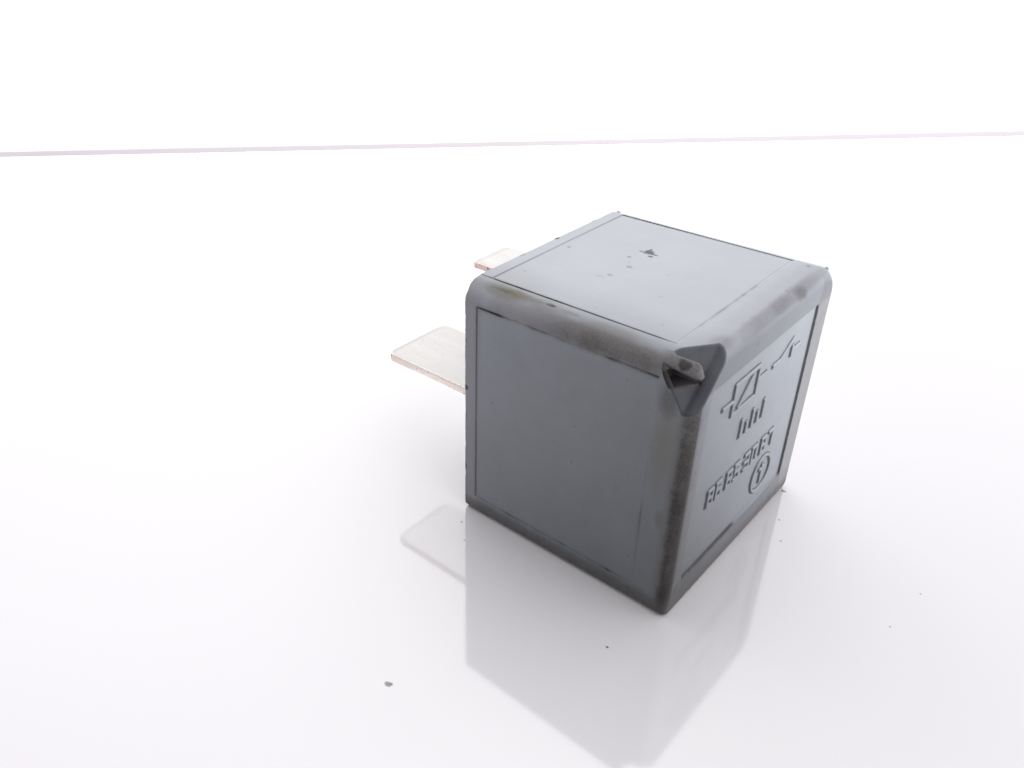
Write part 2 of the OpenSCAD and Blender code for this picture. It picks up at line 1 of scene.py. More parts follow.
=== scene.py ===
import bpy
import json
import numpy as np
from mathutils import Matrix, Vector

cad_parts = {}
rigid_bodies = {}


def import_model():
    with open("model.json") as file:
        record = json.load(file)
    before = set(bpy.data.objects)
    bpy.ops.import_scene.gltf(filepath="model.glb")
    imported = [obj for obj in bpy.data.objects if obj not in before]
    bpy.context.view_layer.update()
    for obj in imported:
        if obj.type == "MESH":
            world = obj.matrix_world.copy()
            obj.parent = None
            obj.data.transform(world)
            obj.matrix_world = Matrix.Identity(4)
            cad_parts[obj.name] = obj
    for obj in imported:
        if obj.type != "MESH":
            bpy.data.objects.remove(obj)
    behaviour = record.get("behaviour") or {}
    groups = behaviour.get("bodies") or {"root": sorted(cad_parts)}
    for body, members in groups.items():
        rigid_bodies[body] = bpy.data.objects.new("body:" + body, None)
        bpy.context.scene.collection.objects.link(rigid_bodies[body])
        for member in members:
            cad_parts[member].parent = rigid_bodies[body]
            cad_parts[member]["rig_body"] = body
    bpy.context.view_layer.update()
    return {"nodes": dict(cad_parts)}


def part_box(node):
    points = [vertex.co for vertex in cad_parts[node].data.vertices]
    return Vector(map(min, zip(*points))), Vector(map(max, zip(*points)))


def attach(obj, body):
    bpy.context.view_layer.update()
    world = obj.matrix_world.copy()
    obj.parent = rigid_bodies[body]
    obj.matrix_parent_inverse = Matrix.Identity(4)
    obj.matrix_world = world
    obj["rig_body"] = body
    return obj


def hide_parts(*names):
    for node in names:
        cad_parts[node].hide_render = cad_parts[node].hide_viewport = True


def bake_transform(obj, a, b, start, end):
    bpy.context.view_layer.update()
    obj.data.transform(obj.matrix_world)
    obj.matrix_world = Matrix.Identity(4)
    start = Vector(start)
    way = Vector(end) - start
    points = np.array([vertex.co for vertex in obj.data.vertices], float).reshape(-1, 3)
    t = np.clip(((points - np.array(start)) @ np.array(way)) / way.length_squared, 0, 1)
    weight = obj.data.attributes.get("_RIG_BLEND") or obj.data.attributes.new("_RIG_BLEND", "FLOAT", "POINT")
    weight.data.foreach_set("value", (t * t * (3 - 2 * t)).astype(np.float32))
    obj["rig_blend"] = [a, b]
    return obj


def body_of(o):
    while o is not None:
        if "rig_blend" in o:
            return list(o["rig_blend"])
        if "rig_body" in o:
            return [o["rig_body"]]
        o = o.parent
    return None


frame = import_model()

# Plug-in power relay lying on one side. Everything is placed from the packed
# frame. The helpers below work in millimetres in the relay's own axis frame:
# x from the cover's open rim to its closed end, y and z from the cover's middle.
import json
import math

import bmesh
import bpy
import numpy as np
from mathutils import Matrix, Vector

_lo, _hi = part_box("cover")
X0 = _lo.x * 1000.0
Y0 = (_lo.y + _hi.y) * 500.0
Z0 = (_lo.z + _hi.z) * 500.0
L = (_hi.x - _lo.x) * 1000.0
H = (_hi.z - _lo.z) * 500.0
ORIGIN = np.array([X0, Y0, Z0])


def row(p):
    """Axis frame, mm, to the row frame, m."""
    return (np.asarray(p, float) + ORIGIN) * 0.001


# ---------------------------------------------------------------- distances


def round_max(a, b, r):
    return np.minimum(-r, np.maximum(a, b)) + np.hypot(np.maximum(r + a, 0), np.maximum(r + b, 0))


def round_min(a, b, r):
    return np.maximum(r, np.minimum(a, b)) - np.hypot(np.maximum(r - a, 0), np.maximum(r - b, 0))


def smooth(v, a, b):
    t = np.clip((v - a) / (b - a), 0, 1)
    return t * t * (3 - 2 * t)


def box(x, y, z, lo, hi):
    d = [np.abs(c - (l + h) / 2) - (h - l) / 2 for c, l, h in zip((x, y, z), lo, hi)]
    return np.maximum(np.maximum(d[0], d[1]), d[2])


# How dark and deep each panel line is along its length: (place, share).
LINES = {
    "left_rim": [(-11.9, 0.62), (0.0, 0.5), (11.9, 0.66)],
    "left_top": [(1.4, 0.45), (2.0, 0.8), (4.4, 1.0), (5.2, 0.45), (6.2, 0.16), (7.5, 0.14), (8.3, 0.55), (9.8, 0.45), (10.6, 0.08), (11.8, 0.25), (12.6, 0.06),
                 (16.2, 0.08), (16.8, 0.8), (17.5, 0.55), (18.2, 0.2), (19.0, 0.5), (20.2, 0.4), (21.0, 0.75), (21.6, 0.75), (21.9, 0.0)],
    "left_low": [(1.4, 0.3), (5.0, 0.3), (6.3, 0.6), (9.0, 0.35), (12.6, 0.4), (13.4, 0.6), (14.2, 0.3), (18.2, 0.4), (19.0, 0.95), (19.6, 0.35), (21.9, 0.2)],
    "left_end": [(-11.9, 0.06), (-6.5, 0.2), (-3.0, 0.42), (-1.0, 0.05), (2.0, 0.1), (8.0, 0.03), (11.9, 0.05)],
    "top_near": [(0.2, 0.25), (1.5, 0.45), (2.2, 0.72), (4.4, 0.8), (5.2, 0.95), (6.0, 0.7), (9.4, 0.85), (11.0, 0.6), (14.0, 0.66), (17.0, 0.5), (19.6, 0.55), (20.8, 0.3), (21.9, 0.1)],
    "top_rim": [(-11.9, 0.4), (-6.0, 0.3), (0.0, 0.2), (6.0, 0.25), (11.9, 0.35)],
    "top_far": [(1.0, 0.9), (5.0, 1.0), (8.0, 0.9), (12.0, 0.65), (16.0, 0.6), (20.0, 0.65), (22.1, 0.5)],
    "top_end": [(-11.9, 0.0), (-8.0, 0.1), (-7.2, 0.3), (-6.0, 0.12), (-4.2, 0.35), (-3.0, 0.4), (-1.6, 0.15), (-0.5, 0.35), (0.3, 0.12), (0.8, 0.5), (1.6, 0.12), (3.3, 0.4), (4.0, 0.06), (11.9, 0.06)],
    "end_right": [(-11.2, 0.85), (10.5, 0.85), (10.7, 0.4)],
    "end_low": [(-10.5, 1.0), (-0.8, 1.0), (-0.2, 0.45), (4.0, 0.3), (10.0, 0.5), (10.7, 0.8)],
    "end_left": [(-10.7, 0.15), (10.7, 0.12)],
    "end_top": [(-10.7, 0.1), (10.7, 0.12)],
    "plain": [(-12.0, 0.55), (-6.0, 0.35), (-1.0, 0.6), (4.0, 0.3), (9.0, 0.55), (14.0, 0.35), (18.0, 0.6), (22.0, 0.4)],
}
RIM, END, SIDE, CROWN, CROWN_LEFT = 1.62, 21.68, 11.7, 10.58, -11.38


def share(name, s):
    p, v = zip(*LINES[name])
    return np.interp(s, p, v)


def notch(t):
    """Cross-section of a panel line: 1 at its middle, 0 outside it."""
    return 1 - smooth(np.abs(t), 0.055, 0.13)


def between(s, a, b):
    return smooth(s, a - 0.14, a - 0.04) * (1 - smooth(s, b + 0.04, b + 0.14))


def side_grooves(x, s, low, high, rim, end, start=RIM):
    """Depth of the outline of one side panel; s runs across the panel."""
    g = notch(s + SIDE) * between(x, start, END) * (0.03 + 0.13 * share(low, x))
    g = np.maximum(g, notch(s - SIDE) * between(x, RIM, END) * (0.03 + 0.13 * share(high, x)))
    g = np.maximum(g, notch(x - RIM) * between(s, -SIDE, SIDE) * (0.03 + 0.13 * share(rim, s)))
    return np.maximum(g, notch(x - END) * between(s, -SIDE, SIDE) * (0.02 + 0.13 * share(end, s)))


REC_X, REC_Y, REC_Z, REC_EY, REC_EZ, NIB_L, NIB_T, NIB_H, HOLE_H = 4.55, 6.3, 7.1, 4.65, 4.9, 4.2, 1.2, 1.5, 1.3
R_LONG, R_CROWN, WALL, SUNK = 2.3, 1.3, 1.3, 0.2


def column(y, z, grow=0.0):
    k = grow * 1.7
    a = np.array([-H + REC_EY + k + 3 * REC_EY / REC_EZ, H + 3])
    b = np.array([-H - 3, H - REC_EZ - k - 3 * REC_EZ / REC_EY])
    d = (b - a) / np.hypot(*(b - a))
    return -((y - a[0]) * d[1] - (z - a[1]) * d[0])


def sloped(x, y, z, grow=0.0):
    n = np.array([1 / REC_X, -1 / REC_Y, 1 / REC_Z])
    n /= np.linalg.norm(n)
    return -((x - L + REC_X) * n[0] + (y + H) * n[1] + (z - H) * n[2] + grow)


def nib(x, y, z):
    tip = L - REC_X + NIB_L
    a = math.radians(24)
    end = (x - tip) * math.cos(a) + (z - H + NIB_H) * math.sin(a)
    d = round_max(y + H - NIB_T, H - NIB_H - z + 0.105 * (tip - 0.3 - x), 0.12)
    return round_max(d, end, 0.2)


def cover_sdf(x, y, z):
    dz = np.abs(z) - H
    dy = np.abs(y) - H
    plain = side_grooves(x, y, "plain", "plain", "plain", "plain")
    dz = dz + np.where(z > 0, side_grooves(x, y, "top_near", "top_far", "top_rim", "top_end", 0.3), plain)
    plain = side_grooves(x, z, "plain", "plain", "plain", "plain")
    dy = dy + np.where(y < 0, side_grooves(x, z, "left_low", "left_top", "left_rim", "left_end"), plain)
    # the closed end: a panel sunk behind its outline
    m = np.maximum(np.maximum(y, CROWN + CROWN_LEFT - y), np.abs(z)) - CROWN
    step = SUNK * (1 - smooth(m, -0.12, 0.12 + 0.14 * ((y < -10) | (z > 10))))
    g = notch(y - CROWN) * between(z, -CROWN, CROWN) * (0.02 + 0.13 * share("end_right", z))
    g = np.maximum(g, notch(z + CROWN) * between(y, CROWN_LEFT, CROWN) * (0.02 + 0.13 * share("end_low", y)))
    dx = x - L + step + g
    # the closed end's edge is crisper on the far side and below, and so are the lower long edges
    crisp = np.maximum(smooth(y, 8.5, 12.0) * (1 - smooth(z, 11.0, 13.2)), smooth(-z, 8.5, 12.0))
    d = round_max(round_max(dy, dz, R_LONG - 1.4 * smooth(-z, 5.0, 9.0)), dx, R_CROWN - (R_CROWN - 0.5) * crisp)
    around = np.arctan2(z, y) * 14
    ragged = 0.05 * np.sin(around * 1.9 + 0.7) * np.sin(around * 0.83) + 0.035 * np.sin(around * 4.7 + 1.9) * np.sin(around * 2.3 + 0.4)
    d = round_max(d, 0.03 + np.abs(ragged) - x, 0.12)
    # small burrs left on the rim and at the far lower corner
    d = round_min(d, np.sqrt((x - 0.16) ** 2 + ((y - 0.9) / 1.6) ** 2 + (z - H + 0.1) ** 2) - 0.16, 0.06)
    d = round_min(d, np.sqrt(((x - 0.5) / 1.4) ** 2 + (y - 12.6) ** 2 + (z - H + 0.22) ** 2) - 0.17, 0.06)
    d = round_min(d, np.sqrt((x - 24.85) ** 2 + ((y - 12.7) / 1.3) ** 2 + (z - 13.66) ** 2) - 0.2, 0.08)
    # inside
    inner = round_max(round_max(np.abs(y) - H + WALL, np.abs(z) - H + WALL, 1.2), x - L + 1.5, 0.4)
    fill = np.maximum(np.maximum(column(y, z, 0.975), sloped(x, y, z, WALL)), box(x, y, z, (L - 9, -H, 0), (L, 0, H)))
    fill = np.minimum(fill, box(x, y, z, (L - REC_X - 1.6, -H, H - 4), (L, -H + 3.5, H)))
    inner = round_max(inner, -fill, 0.2)
    for s in (-5.0, 5.0):
        inner = np.minimum(inner, box(x, y, np.abs(z), (1.6, s - 1.6, H - WALL - 1), (2.9, s + 1.6, H - WALL + 0.42)))
        inner = np.minimum(inner, box(x, np.abs(y), z, (1.6, H - WALL - 1, s - 1.6), (2.9, H - WALL + 0.42, s + 1.6)))
    d = round_max(d, -inner, 0.1)
    # the recess in the corner, less the nib, and the hole under the nib
    cut = round_max(column(y, z), sloped(x, y, z), 0.12)
    cut = round_max(cut, -nib(x, y, z), 0.1)
    d = round_max(d, -cut, 0.16)
    hole = box(x, y, z, (L - REC_X + 0.85, -H + 0.3, H - NIB_H - HOLE_H - 0.02), (L - 1.15, -H + 2.15, H - NIB_H - 0.02))
    return round_max(d, -hole, 0.1)


# ---------------------------------------------------------------- meshes from distances


def lines(*spans):
    """Grid lines from (start, end, spacing) spans that follow each other."""
    out = [spans[0][0]]
    for a, b, s in spans:
        n = max(1, round((b - a) / s))
        out += [a + (b - a) * (i + 1) / n for i in range(n)]
    return np.array(out)


def gradient(f, p, h=0.008):
    g = np.empty_like(p)
    for k in range(3):
        q, r = p.copy(), p.copy()
        q[:, k] += h
        r[:, k] -= h
        g[:, k] = (f(*q.T) - f(*r.T)) / (2 * h)
    return g


def settle(f, p, limit, rounds=4):
    """Moves points onto the surface f = 0, by no more than limit."""
    start = p.copy()
    for _ in range(rounds):
        g = gradient(f, p)
        step = (f(*p.T) / np.maximum((g**2).sum(1), 0.2))[:, None] * g
        q = p - step - start
        far = np.abs(q).max(1) / limit
        p = start + q / np.maximum(far, 1)[:, None]
    return p


def surface_net(f, xs, ys, zs):
    axes = (xs, ys, zs)
    x, y, z = np.meshgrid(xs, ys, zs, indexing="ij")
    v = f(x, y, z)
    inside = v < 0
    shape = tuple(n - 1 for n in v.shape)
    total = np.zeros((int(np.prod(shape)), 3))
    count = np.zeros(int(np.prod(shape)))
    edges = []
    for k in range(3):
        lo = tuple(slice(0, -1) if i == k else slice(None) for i in range(3))
        hi = tuple(slice(1, None) if i == k else slice(None) for i in range(3))
        index = np.argwhere(inside[lo] != inside[hi])
        a, b = v[lo][tuple(index.T)], v[hi][tuple(index.T)]
        p = np.stack([axes[i][index[:, i]] for i in range(3)], 1).astype(float)
        p[:, k] += a / (a - b) * (axes[k][index[:, k] + 1] - axes[k][index[:, k]])
        i, j = [q for q in range(3) if q != k]
        cells, good = [], np.ones(len(index), bool)
        for di, dj in ((0, 0), (-1, 0), (-1, -1), (0, -1)):
            c = index.copy()
            c[:, i] += di
            c[:, j] += dj
            ok = ((c >= 0) & (c < np.array(shape))).all(1)
            good &= ok
            flat = np.where(ok, np.ravel_multi_index(np.clip(c, 0, np.array(shape) - 1).T, shape), 0)
            cells.append(flat)
            for m in range(3):
                total[:, m] += np.bincount(flat[ok], p[ok, m], len(total))
            count += np.bincount(flat[ok], minlength=len(count))
        quad = np.stack(cells, 1)[good]
        flip = (a[good] > 0) ^ (k == 1)
        quad[flip] = quad[flip][:, ::-1]
        edges.append(quad)
    used = count > 0
    number = np.cumsum(used) - 1
    points = total[used] / count[used][:, None]
    where = np.argwhere(used.reshape(shape))
    size = np.stack([(axes[i][1:] - axes[i][:-1])[where[:, i]] for i in range(3)], 1).min(1)
    points = settle(f, points, np.maximum(size * 0.9, 0.02))
    return points, number[np.concatenate(edges)]


def to_mesh(name, points, faces):
    me = bpy.data.meshes.new(name)
    me.vertices.add(len(points))
    me.vertices.foreach_set("co", row(points).astype(np.float32).ravel())
    faces = np.asarray(faces)
    me.loops.add(faces.size)
    me.loops.foreach_set("vertex_index", faces.astype(np.int32).ravel())
    me.polygons.add(len(faces))
    me.polygons.foreach_set("loop_start", np.arange(0, faces.size, faces.shape[1], dtype=np.int32))
    me.update(calc_edges=True)
    me.validate()
    me.polygons.foreach_set("use_smooth", np.ones(len(me.polygons), bool))
    return me


def new_object(name, me):
    o = bpy.data.objects.new(name, me)
    bpy.context.scene.collection.objects.link(o)
    return o


def applied(o):
    """The object's mesh with its modifiers applied."""
    bpy.context.view_layer.update()
    me = bpy.data.meshes.new_from_object(o.evaluated_get(bpy.context.evaluated_depsgraph_get()))
    o.modifiers.clear()
    o.data = me
    return me


def from_sdf(name, f, xs, ys, zs, ratio):
    points, faces = surface_net(f, xs, ys, zs)
    o = new_object(name, to_mesh(name, points, faces))
    if ratio < 1:
        m = o.modifiers.new("thin_out", "DECIMATE")
        m.ratio = ratio
        me = applied(o)
    else:
        me = o.data
    co = np.empty(len(me.vertices) * 3)
    me.vertices.foreach_get("co", co)
    co = co.reshape(-1, 3) * 1000 - ORIGIN
    n = gradient(f, co)
    n /= np.maximum(np.linalg.norm(n, axis=1), 1e-9)[:, None]
    me.polygons.foreach_set("use_smooth", np.ones(len(me.polygons), bool))
    me.normals_split_custom_set_from_vertices([tuple(v) for v in n])
    return o


# ---------------------------------------------------------------- cover

cover_lines = (
    lines((-0.27, 0.33, 0.06), (0.33, 1.44, 0.19), (1.44, 1.8, 0.045), (1.8, 3.0, 0.15), (3.0, 19.4, 0.9), (19.4, 21.5, 0.14),
          (21.5, 21.86, 0.045), (21.86, 25.2, 0.11), (25.2, 25.74, 0.045)),
    lines((-14.18, -13.88, 0.06), (-13.88, -11.88, 0.11), (-11.88, -11.2, 0.05), (-11.2, -9.3, 0.12), (-9.3, 9.3, 0.6), (9.3, 10.38, 0.2), (10.38, 10.8, 0.05), (10.8, 11.52, 0.15), (11.52, 11.88, 0.045),
          (11.88, 13.88, 0.15), (13.88, 14.18, 0.06)),
    lines((-14.18, -13.88, 0.06), (-13.88, -11.88, 0.15), (-11.88, -11.52, 0.045), (-11.52, -10.8, 0.15), (-10.8, -10.38, 0.05),
          (-10.38, -9.3, 0.2), (-9.3, 6.6, 0.6), (6.6, 10.38, 0.12), (10.38, 10.8, 0.05), (10.8, 11.52, 0.1), (11.52, 11.88, 0.045),
          (11.88, 13.88, 0.1), (13.88, 14.24, 0.06)),
)
cover = from_sdf("cover_shell", cover_sdf, *cover_lines, 0.42)

# Raised signs of the closed end: a plain wiring diagram, the blades' numbers,
# the steps of a moulded scale and a mould wheel.
SW = 0.34
FIG_W, FIG_H = 0.9, 1.8
BARS = ["1111110", "0110000", "1101101", "1111001", "0110011", "1011011", "1011111", "1110000", "1111111", "1111011"]


def figure(d, y, z):
    m, t = z + FIG_H / 2, z + FIG_H
    bars = [(y, t, y + FIG_W, t), (y + FIG_W, m, y + FIG_W, t), (y + FIG_W, z, y + FIG_W, m), (y, z, y + FIG_W, z),
            (y, z, y, m), (y, m, y, t), (y, m, y + FIG_W, m)]
    return [b for b, on in zip(bars, BARS[d]) if on == "1"]


def number(n, y, z):
    return figure(n // 10, y, z) + figure(n % 10, y + FIG_W + 0.75, z)


def slant(y, z, length, angle):
    a = math.radians(angle)
    return (y, z, y + length * math.cos(a), z + length * math.sin(a))


strokes = [(-8.6, 7.4, -6.6, 7.4), (-6.6, 5.8, -6.6, 9), (-1.8, 5.8, -1.8, 9), (-6.6, 5.8, -1.8, 5.8), (-6.6, 9, -1.8, 9),
           (-1.8, 7.4, 0, 7.4), slant(-5.4, 6.2, 3.4, 45), (1.6, 7.4, 3.2, 7.4), (5.8, 7.4, 7.6, 7.4), slant(3.2, 7.4, 2.9, 28),
           (5.8, 6.9, 5.8, 7.9), (4.6, -8.1, 4.6, -5.9), (4.1, -6.3, 5.1, -6.3)]
for n, y in ((86, -8.4), (85, -4.6), (30, -0.8), (87, 3.0)):
    strokes += number(n, y, -3.6)
strokes += [(-3.6 + i * 1.2, 2.0, -3.6 + i * 1.2, 3.8 if i % 2 == 0 else 3.0) for i in range(5)]


def signs_sdf(x, y, z):
    d = np.abs(np.hypot(y - 4.6, z + 7.0) - 2.15) - 0.15
    for y0, z0, y1, z1 in strokes:
        ey, ez = y1 - y0, z1 - z0
        t = np.clip(((y - y0) * ey + (z - z0) * ez) / (ey * ey + ez * ez), 0, 1)
        d = np.minimum(d, np.hypot(y - y0 - t * ey, z - z0 - t * ez) - SW / 2)
    # a thin skirt round the strokes, just above the sunk panel, which carries their dirt and their painted shadow
    film = np.maximum(d - 0.17 + 0.05 * np.sin(3.1 * y + 1.7 * z) * np.sin(2.3 * z - 1.1 * y), x - L + SUNK - 0.035)
    d = d + 0.35 * (x - L + 0.06)
    return np.maximum(np.minimum(round_max(d, x - L, 0.07), film), L - SUNK - 0.06 - x)


signs = from_sdf("cover_signs", signs_sdf, lines((L - 0.33, L + 0.05, 0.034)),
                 lines((-9.1, 8.1, 0.07)), lines((-9.6, 9.5, 0.07)), 0.6)
for o in (cover, signs):
    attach(o, "housing")
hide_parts("cover")


# ---------------------------------------------------------------- pieces kept in their CAD shape, with softened edges


def refined(node, width, angle=26, segments=2, ride=True):
    """A copy of a CAD node with its sharp edges rounded off, which stands for the node."""
    src = frame["nodes"][node]
    bm = bmesh.new()
    bm.from_mesh(src.data)
    bmesh.ops.remove_doubles(bm, verts=bm.verts, dist=2e-7)
    bmesh.ops.dissolve_limit(bm, angle_limit=math.radians(0.6), verts=bm.verts, edges=bm.edges)
    bm.normal_update()
    sharp = [e for e in bm.edges if len(e.link_faces) == 2 and e.calc_face_angle(0) > math.radians(angle)]
    if width > 0 and sharp:
        bmesh.ops.bevel(bm, geom=sharp, offset=width * 0.001, segments=segments, profile=0.5, affect="EDGES", clamp_overlap=True)
    bm.normal_update()
    me = bpy.data.meshes.new(node + "_piece")
    bm.to_mesh(me)
    bm.free()
    me.polygons.foreach_set("use_smooth", np.ones(len(me.polygons), bool))
    o = new_object(node + "_piece", me)
    m = o.modifiers.new("even_normals", "WEIGHTED_NORMAL")
    m.keep_sharp = True
    m.weight = 90
    applied(o)
    if ride:
        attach(o, body_of(src)[0])
    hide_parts(node)
    return o


def tube(name, path, radius, sides=16, closed_ends=True, shape=None):
    """A tube along a path in the axis frame. shape(u, v) scales its radius; u runs along it in mm, v round it."""
    p = np.array(path, float)
    t = np.gradient(p, axis=0)
    t /= np.linalg.norm(t, axis=1)[:, None]
    u = np.empty_like(p)
    side = np.cross(t[0], [0.3, 0.2, 0.93])
    for i in range(len(p)):  # carried along, so that the tube doesn't twist
        side = side - side @ t[i] * t[i]
        side /= np.linalg.norm(side)
        u[i] = side
    v = np.cross(t, u)
    run = np.concatenate([[0], np.cumsum(np.linalg.norm(np.diff(p, axis=0), axis=1))])
    a = np.arange(sides) * 2 * np.pi / sides
    r = radius * (np.ones((len(p), sides)) if shape is None else shape(run[:, None], a[None, :]))
    pts = p[:, None, :] + r[..., None] * (np.cos(a)[None, :, None] * u[:, None, :] + np.sin(a)[None, :, None] * v[:, None, :])
    me = bpy.data.meshes.new(name)
    n = len(p)
    verts = np.concatenate([pts.reshape(-1, 3), p[:1], p[-1:]])
    faces = [(i * sides + k, i * sides + (k + 1) % sides, (i + 1) * sides + (k + 1) % sides, (i + 1) * sides + k)
             for i in range(n - 1) for k in range(sides)]
    faces += [(n * sides, (k + 1) % sides, k) for k in range(sides)]
    faces += [(n * sides + 1, (n - 1) * sides + k, (n - 1) * sides + (k + 1) % sides) for k in range(sides)]
    me.from_pydata(row(verts).tolist(), [], faces)
    me.update()
    bm = bmesh.new()
    bm.from_mesh(me)
    bmesh.ops.recalc_face_normals(bm, faces=bm.faces)
    bm.to_mesh(me)
    bm.free()
    me.polygons.foreach_set("use_smooth", np.ones(len(me.polygons), bool))
    return new_object(name, me)


def lathe(name, profile, cy, turns=96, ripple=None):
    """Closed profile of (x, r) points turned about the coil's axis, which runs along x at y = cy."""
    q = np.array(profile, float)
    a = np.arange(turns) * 2 * np.pi / turns
    x = np.repeat(q[None, :, 0], turns, 0)
    r = np.repeat(q[None, :, 1], turns, 0)
    if ripple is not None:
        x, r = ripple(x, r, a[:, None])
    verts = np.stack([x, cy + r * np.cos(a)[:, None], r * np.sin(a)[:, None]], -1).reshape(-1, 3)
    n = len(q)
    faces = [(i * n + k, i * n + (k + 1) % n, (i + 1) % turns * n + (k + 1) % n, (i + 1) % turns * n + k)
             for i in range(turns) for k in range(n)]
    me = bpy.data.meshes.new(name)
    me.from_pydata(row(verts).tolist(), [], faces)
    bm = bmesh.new()
    bm.from_mesh(me)
    bmesh.ops.recalc_face_normals(bm, faces=bm.faces)
    bm.to_mesh(me)
    bm.free()
    me.polygons.foreach_set("use_smooth", np.ones(len(me.polygons), bool))
    me.set_sharp_from_angle(angle=math.radians(50))
    return new_object(name, me)


def bezier(a, b, c, d, n, first=0):
    t = (np.arange(first, n + 1) / n)[:, None]
    a, b, c, d = (np.array(q, float) for q in (a, b, c, d))
    return (1 - t) ** 3 * a + 3 * t * (1 - t) ** 2 * b + 3 * t * t * (1 - t) * c + t**3 * d


# ---------------------------------------------------------------- node graphs


class Val:
    """A number inside a material's graph: a socket or a plain float."""

    def __init__(self, g, x):
        self.g, self.x = g, x

    def op(self, kind, *others, clamp=False):
        return self.g.math(kind, self, *others, clamp=clamp)

    def __add__(self, o): return self.op("ADD", o)
    def __radd__(self, o): return self.op("ADD", o)
    def __sub__(self, o): return self.op("SUBTRACT", o)
    def __rsub__(self, o): return self.g.math("SUBTRACT", o, self)
    def __mul__(self, o): return self.op("MULTIPLY", o)
    def __rmul__(self, o): return self.op("MULTIPLY", o)
    def __truediv__(self, o): return self.op("DIVIDE", o)
    def __neg__(self): return self.op("MULTIPLY", -1.0)
    def abs(self): return self.op("ABSOLUTE")
    def max(self, o): return self.op("MAXIMUM", o)
    def min(self, o): return self.op("MINIMUM", o)
    def pow(self, o): return self.op("POWER", o)
    def clamp(self): return self.op("ADD", 0.0, clamp=True)


